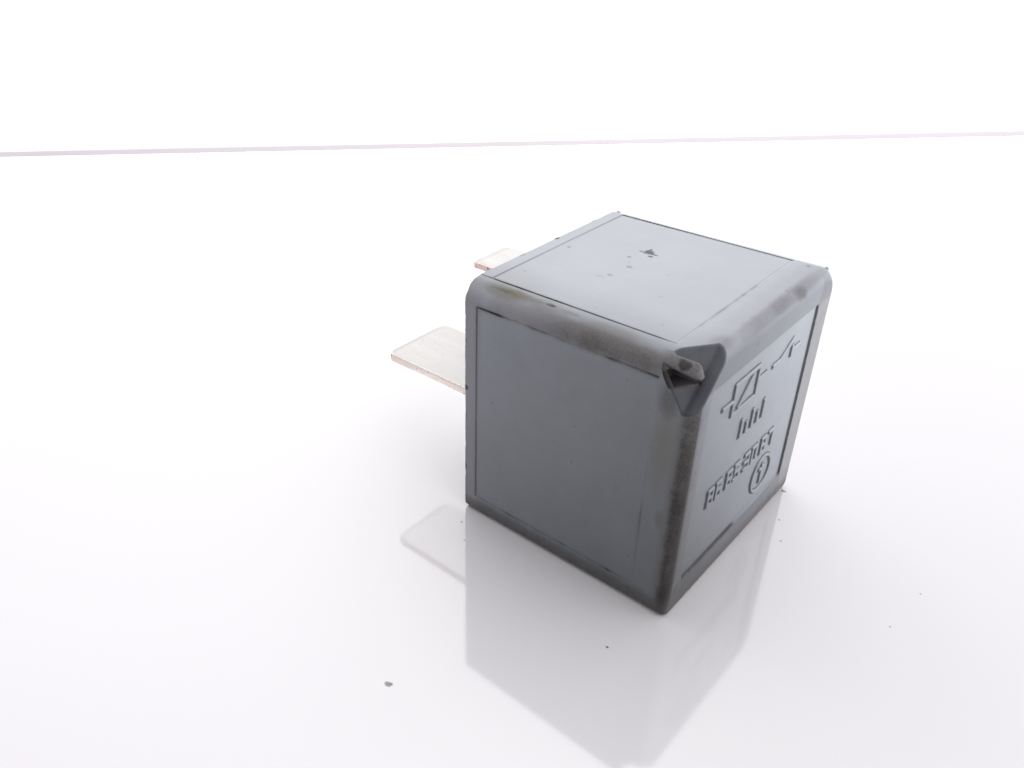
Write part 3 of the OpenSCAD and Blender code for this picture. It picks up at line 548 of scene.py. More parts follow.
class Graph:
    """The material's nodes, with the surface's place in the axis frame in mm as x, y and z."""

    def __init__(self, name):
        self.m = bpy.data.materials.new(name)
        self.m.use_nodes = True
        self.t = self.m.node_tree
        self.t.nodes.clear()
        self.out = self.t.nodes.new("ShaderNodeOutputMaterial")
        self.bsdf = self.t.nodes.new("ShaderNodeBsdfPrincipled")
        self.link(self.bsdf.outputs[0], self.out.inputs[0])
        tc = self.t.nodes.new("ShaderNodeTexCoord")
        self.tc = tc
        mm = self.t.nodes.new("ShaderNodeVectorMath")
        mm.operation = "MULTIPLY_ADD"
        self.link(tc.outputs["Object"], mm.inputs[0])
        mm.inputs[1].default_value = (1000.0,) * 3
        mm.inputs[2].default_value = tuple(-ORIGIN)
        self.p = mm.outputs[0]
        sep = self.t.nodes.new("ShaderNodeSeparateXYZ")
        self.link(self.p, sep.inputs[0])
        self.x, self.y, self.z = (Val(self, s) for s in sep.outputs)

    def link(self, a, b):
        self.t.links.new(a, b)

    def put(self, socket, v):
        if isinstance(v, Val):
            v = v.x
        if isinstance(v, bpy.types.NodeSocket):
            self.link(v, socket)
        else:
            socket.default_value = v

    def math(self, kind, *values, clamp=False):
        n = self.t.nodes.new("ShaderNodeMath")
        n.operation = kind
        n.use_clamp = clamp
        for s, v in zip(n.inputs, values):
            self.put(s, v)
        return Val(self, n.outputs[0])

    def normal(self):
        """The surface's own direction in the object's frame."""
        sep = self.t.nodes.new("ShaderNodeSeparateXYZ")
        self.link(self.tc.outputs["Normal"], sep.inputs[0])
        return [Val(self, s) for s in sep.outputs]

    def step(self, v, a, b):
        """0 below a, 1 above b, smooth between; also falls where a is above b."""
        n = self.t.nodes.new("ShaderNodeMapRange")
        n.interpolation_type = "SMOOTHSTEP"
        if a > b:
            for s, q in zip(n.inputs, (v, b, a, 1.0, 0.0)):
                self.put(s, q)
        else:
            for s, q in zip(n.inputs, (v, a, b, 0.0, 1.0)):
                self.put(s, q)
        return Val(self, n.outputs[0])

    def band(self, v, a, b, soft):
        """1 between a and b, with soft ends."""
        return self.step(v, a - soft, a + soft) * self.step(v, b + soft, b - soft)

    def noise(self, scale, detail=2.0, rough=0.5, stretch=None, distort=0.0, shift=(0.0, 0.0, 0.0)):
        """Soft noise about 0.5; scale is in features per mm."""
        vec = self.p
        if stretch is not None or any(shift):
            k = self.t.nodes.new("ShaderNodeVectorMath")
            k.operation = "MULTIPLY_ADD"
            self.link(vec, k.inputs[0])
            k.inputs[1].default_value = stretch or (1.0, 1.0, 1.0)
            k.inputs[2].default_value = shift
            vec = k.outputs[0]
        n = self.t.nodes.new("ShaderNodeTexNoise")
        n.noise_dimensions = "3D"
        self.link(vec, n.inputs["Vector"])
        n.inputs["Scale"].default_value = scale
        n.inputs["Detail"].default_value = detail
        n.inputs["Roughness"].default_value = rough
        n.inputs["Distortion"].default_value = distort
        return Val(self, n.outputs[0])

    def cells(self, scale, shift=(0.0, 0.0, 0.0), kind="F1"):
        k = self.t.nodes.new("ShaderNodeVectorMath")
        k.operation = "ADD"
        self.link(self.p, k.inputs[0])
        k.inputs[1].default_value = shift
        n = self.t.nodes.new("ShaderNodeTexVoronoi")
        n.feature = kind
        self.link(k.outputs[0], n.inputs["Vector"])
        n.inputs["Scale"].default_value = scale
        return Val(self, n.outputs["Distance"])

    def blob(self, c, r, soft=0.4, warp=None):
        """1 inside an ellipsoid about c with radii r, 0 outside; warp is a number added to the distance."""
        k = self.t.nodes.new("ShaderNodeVectorMath")
        k.operation = "MULTIPLY_ADD"
        self.link(self.p, k.inputs[0])
        k.inputs[1].default_value = tuple(1.0 / q for q in r)
        k.inputs[2].default_value = tuple(-a / q for a, q in zip(c, r))
        n = self.t.nodes.new("ShaderNodeVectorMath")
        n.operation = "LENGTH"
        self.link(k.outputs[0], n.inputs[0])
        d = Val(self, n.outputs["Value"])
        if warp is not None:
            d = d + warp
        return self.step(d, 1 + soft, 1 - soft)

    def table(self, v, name, low, high):
        """The share from LINES along v, as a ramp."""
        n = self.t.nodes.new("ShaderNodeValToRGB")
        n.color_ramp.interpolation = "LINEAR"
        e = n.color_ramp.elements
        pts = LINES[name]
        while len(e) < len(pts):
            e.new(0.5)
        for i, (s, q) in enumerate(pts):
            e[i].position = min(1.0, max(0.0, (s - low) / (high - low)))
            e[i].color = (q, q, q, 1.0)
        self.put(n.inputs[0], (v - low) / (high - low))
        return Val(self, n.outputs[0])

    def shade(self, colour, factor):
        n = self.t.nodes.new("ShaderNodeVectorMath")
        n.operation = "SCALE"
        n.inputs[0].default_value = colour
        self.put(n.inputs["Scale"], factor)
        return n.outputs[0]

    def mix(self, a, b, f):
        n = self.t.nodes.new("ShaderNodeMix")
        n.data_type = "RGBA"
        n.clamp_factor = True
        self.put(n.inputs[0], f)
        for s, c in ((n.inputs[6], a), (n.inputs[7], b)):
            self.put(s, (*c, 1.0) if isinstance(c, tuple) else c)
        return n.outputs[2]

    def bump(self, height, distance, strength=1.0):
        """height in 0..1 times distance in mm."""
        n = self.t.nodes.new("ShaderNodeBump")
        n.inputs["Strength"].default_value = strength
        n.inputs["Distance"].default_value = distance * 0.001
        self.put(n.inputs["Height"], height)
        return n.outputs[0]

    def done(self, colour, rough, normal=None, metal=0.0, ior=1.5, **fixed):
        self.put(self.bsdf.inputs["Base Color"], (*colour, 1.0) if isinstance(colour, tuple) else colour)
        self.put(self.bsdf.inputs["Roughness"], rough)
        self.put(self.bsdf.inputs["Metallic"], metal)
        self.bsdf.inputs["IOR"].default_value = ior
        if normal is not None:
            self.put(self.bsdf.inputs["Normal"], normal)
        for k, v in fixed.items():
            self.bsdf.inputs[k.replace("_", " ")].default_value = v
        return self.m


def wear(o, *materials):
    o.data.materials.clear()
    for m in materials:
        o.data.materials.append(m)
    return o


# ---------------------------------------------------------------- the cover's plastic, with its dirt and painted shade


def line_dirt(g, across, along, low, high, name, p0, p1):
    """Dirt held in a panel line: a narrow core and a faint halo."""
    reach = g.band(along, low, high, 0.12)
    s = g.table(along, name, p0, p1).pow(1.5) * reach
    ragged = (g.noise(1.7, 3.0, 0.6) - 0.5) * 0.16
    t = across.abs() + ragged
    return (g.step(t, 0.21, 0.08) * s).max(g.step(t, 0.6, 0.1) * s * 0.22)


def cover_material(name, raised=False):
    g = Graph(name)
    x, y, z = g.x, g.y, g.z
    nx, ny, nz = g.normal()
    broad = g.noise(0.16, 3.0, 0.55) - 0.5
    patch = g.noise(0.7, 4.0, 0.6, shift=(3.1, 7.7, 1.2)) - 0.5
    fine = g.noise(4.5, 5.0, 0.65) - 0.5
    grain = g.noise(9.0, 3.0, 0.7, shift=(5.0, 1.0, 9.0))
    on_top = g.step(z, 13.3, 13.75)
    on_left = g.step(y, -13.3, -13.75)
    on_end = g.step(x, 25.0, 25.28)
    on_right = g.step(y, 13.3, 13.75)
    on_under = g.step(z, -13.3, -13.75)

    # painted shade over whole faces: each face is made lighter or darker in gradients that stand for how the light
    # falls on it
    left_face_painted_shade = ((0.765 - x * 0.0105 + z * 0.0105) * (1.0 - g.step(z + patch * 0.7, -11.4, -12.6) * 0.32)
                 * (1.0 + g.step(x, 1.7, 1.5) * 0.12))
    top_face_painted_shade = ((0.825 - g.step(y, -6.0, -11.8) * 0.2) * (1.0 - g.step(x + patch * 2.0, 21.2, 23.8) * 0.17)
                * (1.0 - g.step(x + patch * 3.0, 10.0, 2.0) * 0.08))
    end_face_painted_shade = ((0.89 + y * 0.034 + z * 0.025) * (1.0 - g.step(y, -11.2, -11.7) * 0.06)
                * (1.0 - g.step(y, 10.55, 10.8) * 0.2) * (1.0 - g.step(z, 10.5, 10.9) * 0.36) * (1.0 - g.step(z, -10.55, -10.8) * 0.38))
    rest = (1.0 - on_top) * (1.0 - on_left) * (1.0 - on_end)
    tone = on_top * top_face_painted_shade + on_left * left_face_painted_shade * (1.0 - on_top) + on_end * end_face_painted_shade * (1.0 - on_top) * (1.0 - on_left)
    tone = tone + rest * 0.78
    tone = tone * (1.0 + broad * 0.24 + patch * 0.17 + fine * 0.12)
    colour = g.shade((0.227, 0.246, 0.272), tone)
    # beige film on the narrow strip beyond the closed end's panel
    colour = g.mix(colour, (0.235, 0.228, 0.222), on_end * g.step(y, 10.8, 11.1) * g.step(z + patch, 12.2, 10.6) * (0.55 + patch * 0.8).clamp())
    rough = 0.43 + patch * 0.14 + fine * 0.1
    dirt_and_painted_shade = Val(g, 0.0)

    def lay(c, mask):
        nonlocal colour, dirt_and_painted_shade
        colour = g.mix(colour, c, mask)
        dirt_and_painted_shade = mask if isinstance(dirt_and_painted_shade.x, float) else dirt_and_painted_shade.max(mask)

    def stain(c, mask):
        lay(c, (mask * (0.92 + fine * 1.1 + patch * 0.8)).clamp())

    s = (z - 11.7) + (y + 14.0)
    q = x + y - 10.3
    q2 = (x - 24.3) + (14.0 - z)
    uneven = patch * 0.9 + fine * 0.35
    # purple bloom beside the rim and on the corner by it
    stain((0.185, 0.170, 0.192), g.step(x, 2.6, 1.2) * (on_left * 0.5 + g.band(s, -0.2, 3.6, 0.9) * 0.35) * g.step(y, -10.5, -11.5))
    # the long edge between the top and the left side
    edge = g.band(s + uneven * 0.9, 0.05, 2.75, 0.55) * g.step(y, -10.5, -11.3) * g.step(z, 11.0, 11.7)
    stain((0.150, 0.140, 0.146), edge * g.step(x, 2.2, 4.2) * 0.6)
    stain((0.054, 0.048, 0.044), edge * g.step(x + uneven, 6.0, 14.5) * g.step(x, 23.2, 20.4) * 0.74)
    stain((0.080, 0.070, 0.068), g.blob((16.4, -12.9, 13.6), (2.8, 0.9, 0.6), 0.5, uneven * 0.9) * 0.5)
    stain((0.078, 0.076, 0.056), g.blob((4.2, -12.75, 13.75), (2.4, 0.8, 0.7), 0.45, uneven * 1.2) * 0.66)
    stain((0.070, 0.064, 0.032), g.blob((5.2, -12.62, 13.8), (1.7, 0.42, 0.5), 0.5, uneven * 1.7) * 0.8)
    stain((0.040, 0.036, 0.024), g.blob((3.9, -12.72, 13.76), (1.2, 0.2, 0.3), 0.5, uneven * 1.8) * 0.65)
    stain((0.095, 0.092, 0.088), g.blob((8.6, -12.75, 13.75), (2.2, 0.7, 0.6), 0.5, uneven * 1.2) * 0.45)
    stain((0.075, 0.072, 0.058), g.blob((7.6, -12.6, 13.8), (1.3, 0.22, 0.3), 0.5, uneven * 0.5) * 0.6)
    stain((0.016, 0.015, 0.013), g.blob((9.35, -12.52, 13.86), (0.55, 0.17, 0.2), 0.3, fine * 0.4) * 0.9)
    stain((0.070, 0.066, 0.055), g.blob((11.6, -12.6, 13.8), (1.0, 0.2, 0.3), 0.5, uneven * 0.5) * 0.45)
    # the upright edge between the left side and the closed end
    soft = g.step(q + uneven * 0.5, -0.75, 0.75)
    sharp = g.step(q + fine * 0.12, 2.16, 2.02)
    tall = g.step(z + uneven * 0.5, 10.9, 9.9)
    stain((0.105, 0.098, 0.078), g.blob((23.0, -14.0, 5.0), (1.1, 1.2, 4.6), 0.6, uneven * 0.6) * 0.5 * g.step(x, 21.6, 22.0))
    stain((0.050, 0.041, 0.036), soft * sharp * tall * (0.9 + uneven * 0.25))
    stain((0.010, 0.008, 0.008), g.band(q + uneven * 0.45, 0.25, 1.98, 0.4) * tall * (0.35 + g.step(z + uneven, 9.0, -1.0) * 0.6))
    stain((0.022, 0.018, 0.018), g.blob((22.9, -14.0, 10.0), (0.9, 0.8, 1.5), 0.6, uneven * 1.0) * 0.5)
    stain((0.075, 0.066, 0.062), g.band(q + uneven * 0.4, 1.9, 3.3, 0.5) * tall * g.step(q, 2.0, 2.2) * (0.3 + patch * 0.9))
    stain((0.075, 0.062, 0.046), g.blob((23.6, -14.0, -2.6), (0.45, 0.5, 0.9), 0.5, uneven * 0.8) * 0.5)
    # the corner below it and the lower edges
    stain((0.040, 0.036, 0.036), g.step(z + uneven * 0.4, -11.9, -13.2) * g.step(nz, 0.4, -0.1) * 0.55)
    # the edge between the top and the closed end
    crown = g.band(q2 + uneven * 0.5, 0.0, 1.9, 0.45) * g.step(x, 23.2, 24.2)
    stain((0.085, 0.080, 0.090), crown * g.band(y + uneven * 2.0, -6.2, 9.5, 3.0) * 0.6)
    stain((0.048, 0.044, 0.054), g.blob((25.2, 5.7, 13.6), (0.75, 1.0, 0.6), 0.6, uneven * 1.8) * 0.75)
    stain((0.060, 0.052, 0.065), g.blob((25.0, 1.5, 13.75), (0.7, 1.6, 0.5), 0.6, uneven * 0.7) * 0.5)
    stain((0.060, 0.056, 0.060), g.blob((24.5, -8.9, 14.0), (0.9, 1.3, 0.5), 0.6, uneven * 0.9) * 0.45)
    # the strip and the edge under the left side's panel
    lay((0.062, 0.052, 0.042), g.step(z + uneven * 1.2, -11.8, -12.9) * g.step(y, -11.0, -12.0) * (0.22 + patch * 1.0).clamp())
    lay((0.030, 0.024, 0.020), g.band(z + uneven * 0.5, -13.4, -12.2, 0.35) * g.step(y, -12.2, -13.1) * g.step(g.noise(0.9, 4.0, 0.7, shift=(1.0, 5.0, 2.0)), 0.50, 0.66) * 0.42)
    low_end = g.step(z + uneven * 1.0, -11.4, -12.9) * g.step(x, 23.6, 24.6)
    lay((0.060, 0.051, 0.045), low_end * (0.4 + patch * 1.4).clamp() * 0.6)
    # chips and specks along the rim and the far edges
    grit = g.noise(2.6, 5.0, 0.75, shift=(8.0, 3.0, 5.0))
    rim_zone = g.step(x, 0.42, 0.1)
    lay((0.060, 0.056, 0.055), rim_zone * g.step(grit, 0.62, 0.72) * 0.6)
    far_zone = g.step(y, 11.9, 12.6) * (g.step(z, 11.9, 12.6).max(g.step(x, 23.8, 24.6)))
    lay((0.110, 0.102, 0.098), far_zone * g.step(grit, 0.62, 0.74) * 0.4)
    lay((0.040, 0.034, 0.032), g.step(z, -11.8, -12.6) * g.step(x, 23.8, 24.6) * g.step(grit, 0.6, 0.7) * 0.6)
        # lines
    ink = (0.018, 0.017, 0.019)
    for mask, across, along, name, low, high in (
            (on_left, z - SIDE, x, "left_top", RIM, END), (on_left, z + SIDE, x, "left_low", RIM, END),
            (on_left, x - RIM, z, "left_rim", -SIDE, SIDE), (on_left, x - END, z, "left_end", -SIDE, SIDE),
            (on_top, y + SIDE, x, "top_near", 0.3, END), (on_top, y - SIDE, x, "top_far", RIM, END),
            (on_top, x - RIM, y, "top_rim", -SIDE, SIDE), (on_top, x - END, y, "top_end", -SIDE, SIDE),
            (on_end, y - CROWN, z, "end_right", -CROWN, CROWN), (on_end, z + CROWN, y, "end_low", CROWN_LEFT, CROWN),
            (on_right, z - SIDE, x, "plain", RIM, END), (on_right, z + SIDE, x, "plain", RIM, END),
            (on_right, x - RIM, z, "plain", -SIDE, SIDE), (on_right, x - END, z, "plain", -SIDE, SIDE),
            (on_under, y - SIDE, x, "plain", RIM, END), (on_under, y + SIDE, x, "plain", RIM, END),
            (on_under, x - RIM, y, "plain", -SIDE, SIDE), (on_under, x - END, y, "plain", -SIDE, SIDE)):
        pts = LINES[name]
        lay(ink, line_dirt(g, across, along, low, high, name, pts[0][0], pts[-1][0]) * mask)
    # marks on the top and on the rim
    for c, r, k, wob in (((9.75, 4.0, 14), (0.5, 0.5, 0.4), 0.97, 2.0), ((10.25, 3.75, 14), (0.62, 0.17, 0.4), 0.95, 1.0), ((9.5, 4.2, 14), (0.17, 0.75, 0.4), 0.92, 1.0), ((10.4, 3.1, 14), (0.3, 0.22, 0.4), 0.9, 1.2), ((9.1, 3.7, 14), (0.4, 0.14, 0.4), 0.8, 0.8), ((8.8, 1.6, 14), (0.24, 0.2, 0.4), 0.5, 0.8),
                         ((10.2, -0.6, 14), (0.34, 0.26, 0.4), 0.42, 0.9), ((9.8, -3.5, 14), (0.28, 0.25, 0.4), 0.4, 0.8), ((2.6, -0.3, 14), (0.22, 0.2, 0.4), 0.5, 0.8),
                         ((9.2, -4.4, 14), (0.5, 0.14, 0.4), 0.25, 0.6), ((23.5, 11.3, 14), (0.18, 0.18, 0.4), 0.7, 0.4), ((24.3, 4.3, 14), (0.16, 0.14, 0.4), 0.5, 0.4),
                         ((0.12, 0.9, 13.95), (0.3, 0.42, 0.4), 0.95, 0.3), ((0.5, 12.6, 13.85), (0.4, 0.26, 0.4), 0.95, 0.3), ((0.1, -5.2, 14), (0.25, 0.5, 0.4), 0.5, 0.6),
                         ((0.1, 7.8, 14), (0.2, 0.4, 0.4), 0.6, 0.5), ((0.22, -14.0, 2.0), (0.3, 0.4, 0.3), 0.95, 0.5), ((0.1, -13.95, 7.4), (0.2, 0.4, 0.3), 0.7, 0.5), ((0.1, -13.95, -1.5), (0.2, 0.4, 0.5), 0.6, 0.6), ((0.1, -13.9, -8.2), (0.24, 0.4, 0.5), 0.7, 0.6), ((7.4, 11.5, 14), (0.35, 0.12, 0.4), 0.4, 0.5)):
        lay((0.022, 0.020, 0.024), g.blob(c, r, 0.35, fine * wob) * k)
    # specks all over
    speck = g.step(g.cells(0.55, (2.2, 0.4, 6.1)), 0.16, 0.06) * g.step(patch, 0.0, 0.22)
    lay((0.060, 0.056, 0.055), speck * 0.55)
    lay((0.330, 0.340, 0.360), g.step(g.cells(0.8, (9.2, 3.4, 1.1)), 0.1, 0.04) * g.step(patch, -0.05, -0.2) * 0.35)
    if raised:
        # dirt and painted shadow round the strokes' foot, and painted shade on their flanks that face -y, away from the
        # light
        stroke_foot_dirt_and_shadow = g.step(x + fine * 0.02, L - SUNK + 0.10, L - SUNK + 0.03)
        lay((0.040, 0.038, 0.041), stroke_foot_dirt_and_shadow * (0.75 + patch * 0.8))
        lay((0.040, 0.038, 0.041), g.step(ny, -0.35, -0.8) * g.step(x, L - 0.03, L - 0.08) * 0.7)
    else:
        # the recess in the corner, less the nib: painted shade and painted dark reflection, bluish black on its faces,
        # darker deep inside, a lighter band on the sloped floor, and near black in the hole under the nib and on its
        # lip
        a = np.array([-H + REC_EY + 3 * REC_EY / REC_EZ, H + 3])
        b = np.array([-H - 3, H - REC_EZ - 3 * REC_EZ / REC_EY])
        d = (b - a) / np.hypot(*(b - a))
        col = (z - float(a[1])) * float(d[0]) - (y - float(a[0])) * float(d[1])
        n = np.array([1 / REC_X, -1 / REC_Y, 1 / REC_Z])
        n /= np.linalg.norm(n)
        slo = -((x - float(L - REC_X)) * float(n[0]) + (y + float(H)) * float(n[1]) + (z - float(H)) * float(n[2]))
        inside = g.step(col.max(slo) + fine * 0.08, 0.14, 0.02)
        on_nib = g.step(y, -12.6, -12.75) * g.step(z, 12.35, 12.5)
        lay((0.022, 0.025, 0.032), inside * (1.0 - on_nib) * (0.95 + patch * 0.2))
        lay((0.009, 0.010, 0.017), inside * (1.0 - on_nib) * g.blob((24.6, -12.2, 11.4), (0.9, 1.2, 1.6), 0.7, uneven * 0.5) * 0.8)
        lay((0.012, 0.013, 0.019), inside * (1.0 - on_nib) * g.blob((25.0, -13.6, 9.4), (0.7, 0.9, 1.6), 0.7, uneven * 0.6) * 0.7)
        lay((0.055, 0.058, 0.068), inside * (1.0 - on_nib) * g.step(slo, -0.15, -0.6) * 0.5)
        # painted shade: near black on the walls of the hole under the nib and on its lip
        lay((0.017, 0.012, 0.015), g.step(z, H - NIB_H - HOLE_H - 0.25, H - NIB_H - HOLE_H - 0.12) * g.step(z + x * 0.105, 12.96 + 2.42, 12.84 + 2.42) * g.step(x, 21.3, 21.5) * g.step(y, -11.75, -11.9) * g.step(col.max(slo), 0.26, 0.18).max(g.step(y, -13.78, -13.68) * g.step(z, 12.75, 12.6)) * g.step(x, L - 0.75, L - 1.0))
        lay((0.004, 0.003, 0.004), g.step(y, -13.3, -13.55) * g.step(x, 21.2, 21.5) * g.step(col.max(slo), 0.26, 0.18) * g.step(z, 11.05, 11.2) * g.step(z + x * 0.105, 15.34, 15.2) * 0.9)
        lay((0.052, 0.048, 0.048), on_nib * g.step(x, 20.8, 22.4) * g.step(z, 14.02, 13.75) * (0.8 + fine * 0.9 + patch * 0.5))
        lay((0.135, 0.132, 0.135), on_nib * g.step(x, 22.0, 22.8) * g.step(z, 13.7, 13.9) * 0.6)
        lay((0.005, 0.003, 0.002), g.blob((23.55, -13.38, 13.42), (0.6, 0.42, 0.5), 0.3, uneven * 3.2) * on_nib * 0.95)
    height = fine * 0.5 + grain * 0.5 + patch * 0.4
    normal = g.bump(height, 0.016, 0.55)
    return g.done(colour, (rough + dirt_and_painted_shade * 0.2).clamp(), normal)


wear(cover, cover_material("cover_grey"))
wear(signs, cover_material("cover_grey_signs", True))


# ---------------------------------------------------------------- finishes of the metal and inner pieces


def blade_material(name, flat, edge, y0, y1, tip, bare, redder):
    """Dull tin over copper: tin on the broad faces, bare copper on the cut edges. flat and edge are
    axis numbers of the broad faces' and the cut edges' directions; y0 and y1 bound the blade's width."""
    g = Graph(name)
    n = g.normal()
    along = g.x
    p = (g.x, g.y, g.z)
    cloud = g.noise(0.35, 4.0, 0.6, stretch=(0.5, 1.0, 1.0)) - 0.5
    rub = g.noise(2.2, 4.0, 0.65, stretch=(0.12, 1.0, 1.0), shift=(1.0, 4.0, 2.0)) - 0.5
    fine = g.noise(7.0, 4.0, 0.65) - 0.5
    broad = g.step(n[flat].abs(), 0.78, 0.96)
    colour = g.shade((0.322, 0.317, 0.306), 1.0 + cloud * 0.26 + rub * 0.16 + fine * 0.14)
    warm = g.mix(colour, (0.290, 0.266, 0.236), g.step(cloud + rub * 0.5, 0.02, 0.2) * 0.5)
    # mating tracks rubbed by the socket's springs
    mid = (y0 + y1) / 2.0
    track = g.band(p[edge] - mid, -1.9, -1.1, 0.25).max(g.band(p[edge] - mid, 1.1, 1.9, 0.25)) * g.step(along, -1.6, -2.6) * g.step(rub, -0.2, 0.1)
    warm = g.mix(warm, (0.36, 0.355, 0.35), track * 0.5)
    tipmask = g.step(along, tip + 1.3, tip + 0.9)
    warm = g.mix(warm, (0.245, 0.247, 0.245), tipmask * 0.55)
    # painted light: blades lying flat get near-white, more metallic undersides that stand for light thrown up from the
    # table
    under = g.step(n[flat], -0.6, -0.92) if flat == 2 else Val(g, 0.0)
    warm = g.mix(warm, (0.80, 0.79, 0.77), under * (0.9 + cloud * 0.4))
    copper = g.mix(bare, redder, g.step(cloud + fine * 0.8, -0.12, 0.22))
    copper = g.mix(copper, (0.70, 0.66, 0.58), g.step(rub + fine, 0.02, 0.2) * 0.6)
    copper = g.mix(copper, (0.30, 0.23, 0.20), g.step(g.noise(2.6, 4.0, 0.7, shift=(2.0, 8.0, 5.0)), 0.56, 0.66) * 0.5)
    colour = g.mix(copper, warm, broad)
    speck = g.step(g.cells(0.9, (1.0, 7.0, 3.0)), 0.17, 0.07) * (1.0 - broad * 0.75)
    colour = g.mix(colour, (0.06, 0.045, 0.04), speck * 0.8)
    height = rub * 0.5 + fine * 0.4
    return g.done(colour, (0.40 + cloud * 0.15 + (1.0 - broad) * 0.16).clamp(), g.bump(height, 0.012, 0.5), (0.9 - broad * (1.0 - under) * 0.38 - speck * 0.5).clamp())


def metal(name, colour, other, rough, scale=0.5, streak=None, spots=(0.05, 0.045, 0.04), share_of_spots=0.5):
    """Bright metal with a cloudy second tone, fine scratches and a few dull spots."""
    g = Graph(name)
    cloud = g.noise(scale, 4.0, 0.6) - 0.5
    rub = g.noise(3.0, 4.0, 0.65, stretch=streak or (0.2, 1.0, 1.0), shift=(3.0, 1.0, 8.0)) - 0.5
    fine = g.noise(8.0, 3.0, 0.6) - 0.5
    c = g.mix(colour, other, g.step(cloud + rub * 0.4, -0.12, 0.2))
    spot = g.step(g.cells(0.7, (4.0, 2.0, 6.0)), 0.16, 0.05) * share_of_spots
    c = g.mix(c, spots, spot)
    return g.done(c, (rough + cloud * 0.18 + rub * 0.12 + spot * 0.3).clamp(), g.bump(rub * 0.6 + fine * 0.4, 0.012, 0.5), 1.0 - spot * 0.7)


def plastic(name, colour, other, rough, scale=0.4, dust=(0.3, 0.29, 0.27), dust_share=0.12):
    g = Graph(name)
    cloud = g.noise(scale, 4.0, 0.6) - 0.5
    fine = g.noise(6.0, 4.0, 0.65) - 0.5
    c = g.mix(colour, other, g.step(cloud + fine * 0.3, -0.15, 0.22))
    film = g.step(g.noise(0.9, 5.0, 0.7, shift=(6.0, 2.0, 4.0)) + fine * 0.2, 0.52, 0.72) * dust_share
    c = g.mix(c, dust, film)
    return g.done(c, (rough + cloud * 0.12 + film).clamp(), g.bump(fine * 0.6 + cloud * 0.4, 0.014, 0.5))


steel = metal("zinc_steel", (0.56, 0.56, 0.555), (0.60, 0.57, 0.50), 0.34)
armature_steel = metal("zinc_steel_armature", (0.58, 0.58, 0.58), (0.54, 0.53, 0.50), 0.32, streak=(1.0, 0.2, 1.0))
brass = metal("brass_rivets", (0.62, 0.52, 0.30), (0.52, 0.40, 0.22), 0.33)
silver = metal("silver_alloy", (0.72, 0.71, 0.69), (0.55, 0.53, 0.51), 0.3, spots=(0.08, 0.07, 0.07), share_of_spots=0.8)
bronze = metal("spring_bronze_leaf", (0.66, 0.42, 0.24), (0.55, 0.33, 0.19), 0.32, streak=(1.0, 0.2, 1.0))
wire = metal("enamelled_copper_wire", (0.52, 0.20, 0.085), (0.40, 0.13, 0.05), 0.26, spots=(0.15, 0.05, 0.02))
tin_wire = metal("tinned_wire_leads", (0.62, 0.615, 0.60), (0.52, 0.51, 0.49), 0.33)
base_black = plastic("base_black", (0.022, 0.022, 0.024), (0.032, 0.031, 0.031), 0.46)
bobbin_cream = plastic("bobbin_cream", (0.52, 0.47, 0.36), (0.46, 0.41, 0.31), 0.42, dust_share=0.05)


def copper_braid():
    """Bare copper strands, plaited."""
    g = Graph("copper_braid_strands")
    n = g.noise(1.4, 4.0, 0.6) - 0.5
    fine = g.noise(5.0, 4.0, 0.7, stretch=(1.0, 1.0, 1.0)) - 0.5
    c = g.mix((0.58, 0.27, 0.14), (0.36, 0.15, 0.08), g.step(n + fine * 0.6, -0.1, 0.2))
    return g.done(c, (0.38 + fine * 0.2).clamp(), g.bump(fine, 0.03, 0.6), 0.95)


def resistor_coat():
    """Grey-blue coating with coloured rings."""
    g = Graph("resistor_coat_rings")
    n = g.noise(1.0, 4.0, 0.6) - 0.5
    c = g.mix((0.20, 0.33, 0.40), (0.16, 0.27, 0.34), g.step(n, -0.1, 0.15))
    for z, ring in ((-1.7, (0.24, 0.07, 0.03)), (-0.9, (0.02, 0.02, 0.02)), (-0.1, (0.25, 0.08, 0.04)), (1.1, (0.5, 0.36, 0.12))):
        c = g.mix(c, ring, g.band(g.z + n * 0.05, z - 0.2, z + 0.2, 0.03))
    return g.done(c, (0.3 + n * 0.1).clamp(), g.bump(n, 0.03, 0.5))


def tape_film():
    """Amber film, with the turns under it showing through."""
    g = Graph("amber_tape")
    n = g.noise(0.6, 4.0, 0.6) - 0.5
    turns = g.math("SINE", g.x * (2 * math.pi / 0.322))
    c = g.mix((0.62, 0.34, 0.045), (0.48, 0.23, 0.03), (turns * 0.25 + 0.5 + n * 0.6).clamp())
    return g.done(c, (0.2 + n * 0.12).clamp(), g.bump(turns * 0.3 + n, 0.01, 0.5), Coat_Weight=0.4, Coat_Roughness=0.15)


# ---------------------------------------------------------------- metal and inner pieces

BLADES = {
    "terminal_30": (0.28, 2, 1, -12.45, -2.95, -13.6, (0.95, 0.89, 0.84), (0.90, 0.78, 0.72)),
    "terminal_87": (0.28, 1, 2, -4.75, 4.75, -13.6, (0.95, 0.89, 0.84), (0.90, 0.78, 0.72)),
    "terminal_85": (0.12, 2, 1, -0.85, 5.45, -10.7, (0.96, 0.82, 0.79), (0.90, 0.68, 0.65)),
    "terminal_86": (0.12, 2, 1, -0.85, 5.45, -10.7, (0.96, 0.82, 0.79), (0.90, 0.68, 0.65)),
}
for node, (width, flat, edge, a, b, tip, bare, redder) in BLADES.items():
    o = refined(node, width, segments=3)
    wear(o, blade_material(node + "_tin", flat, edge, a, b, tip, bare, redder))

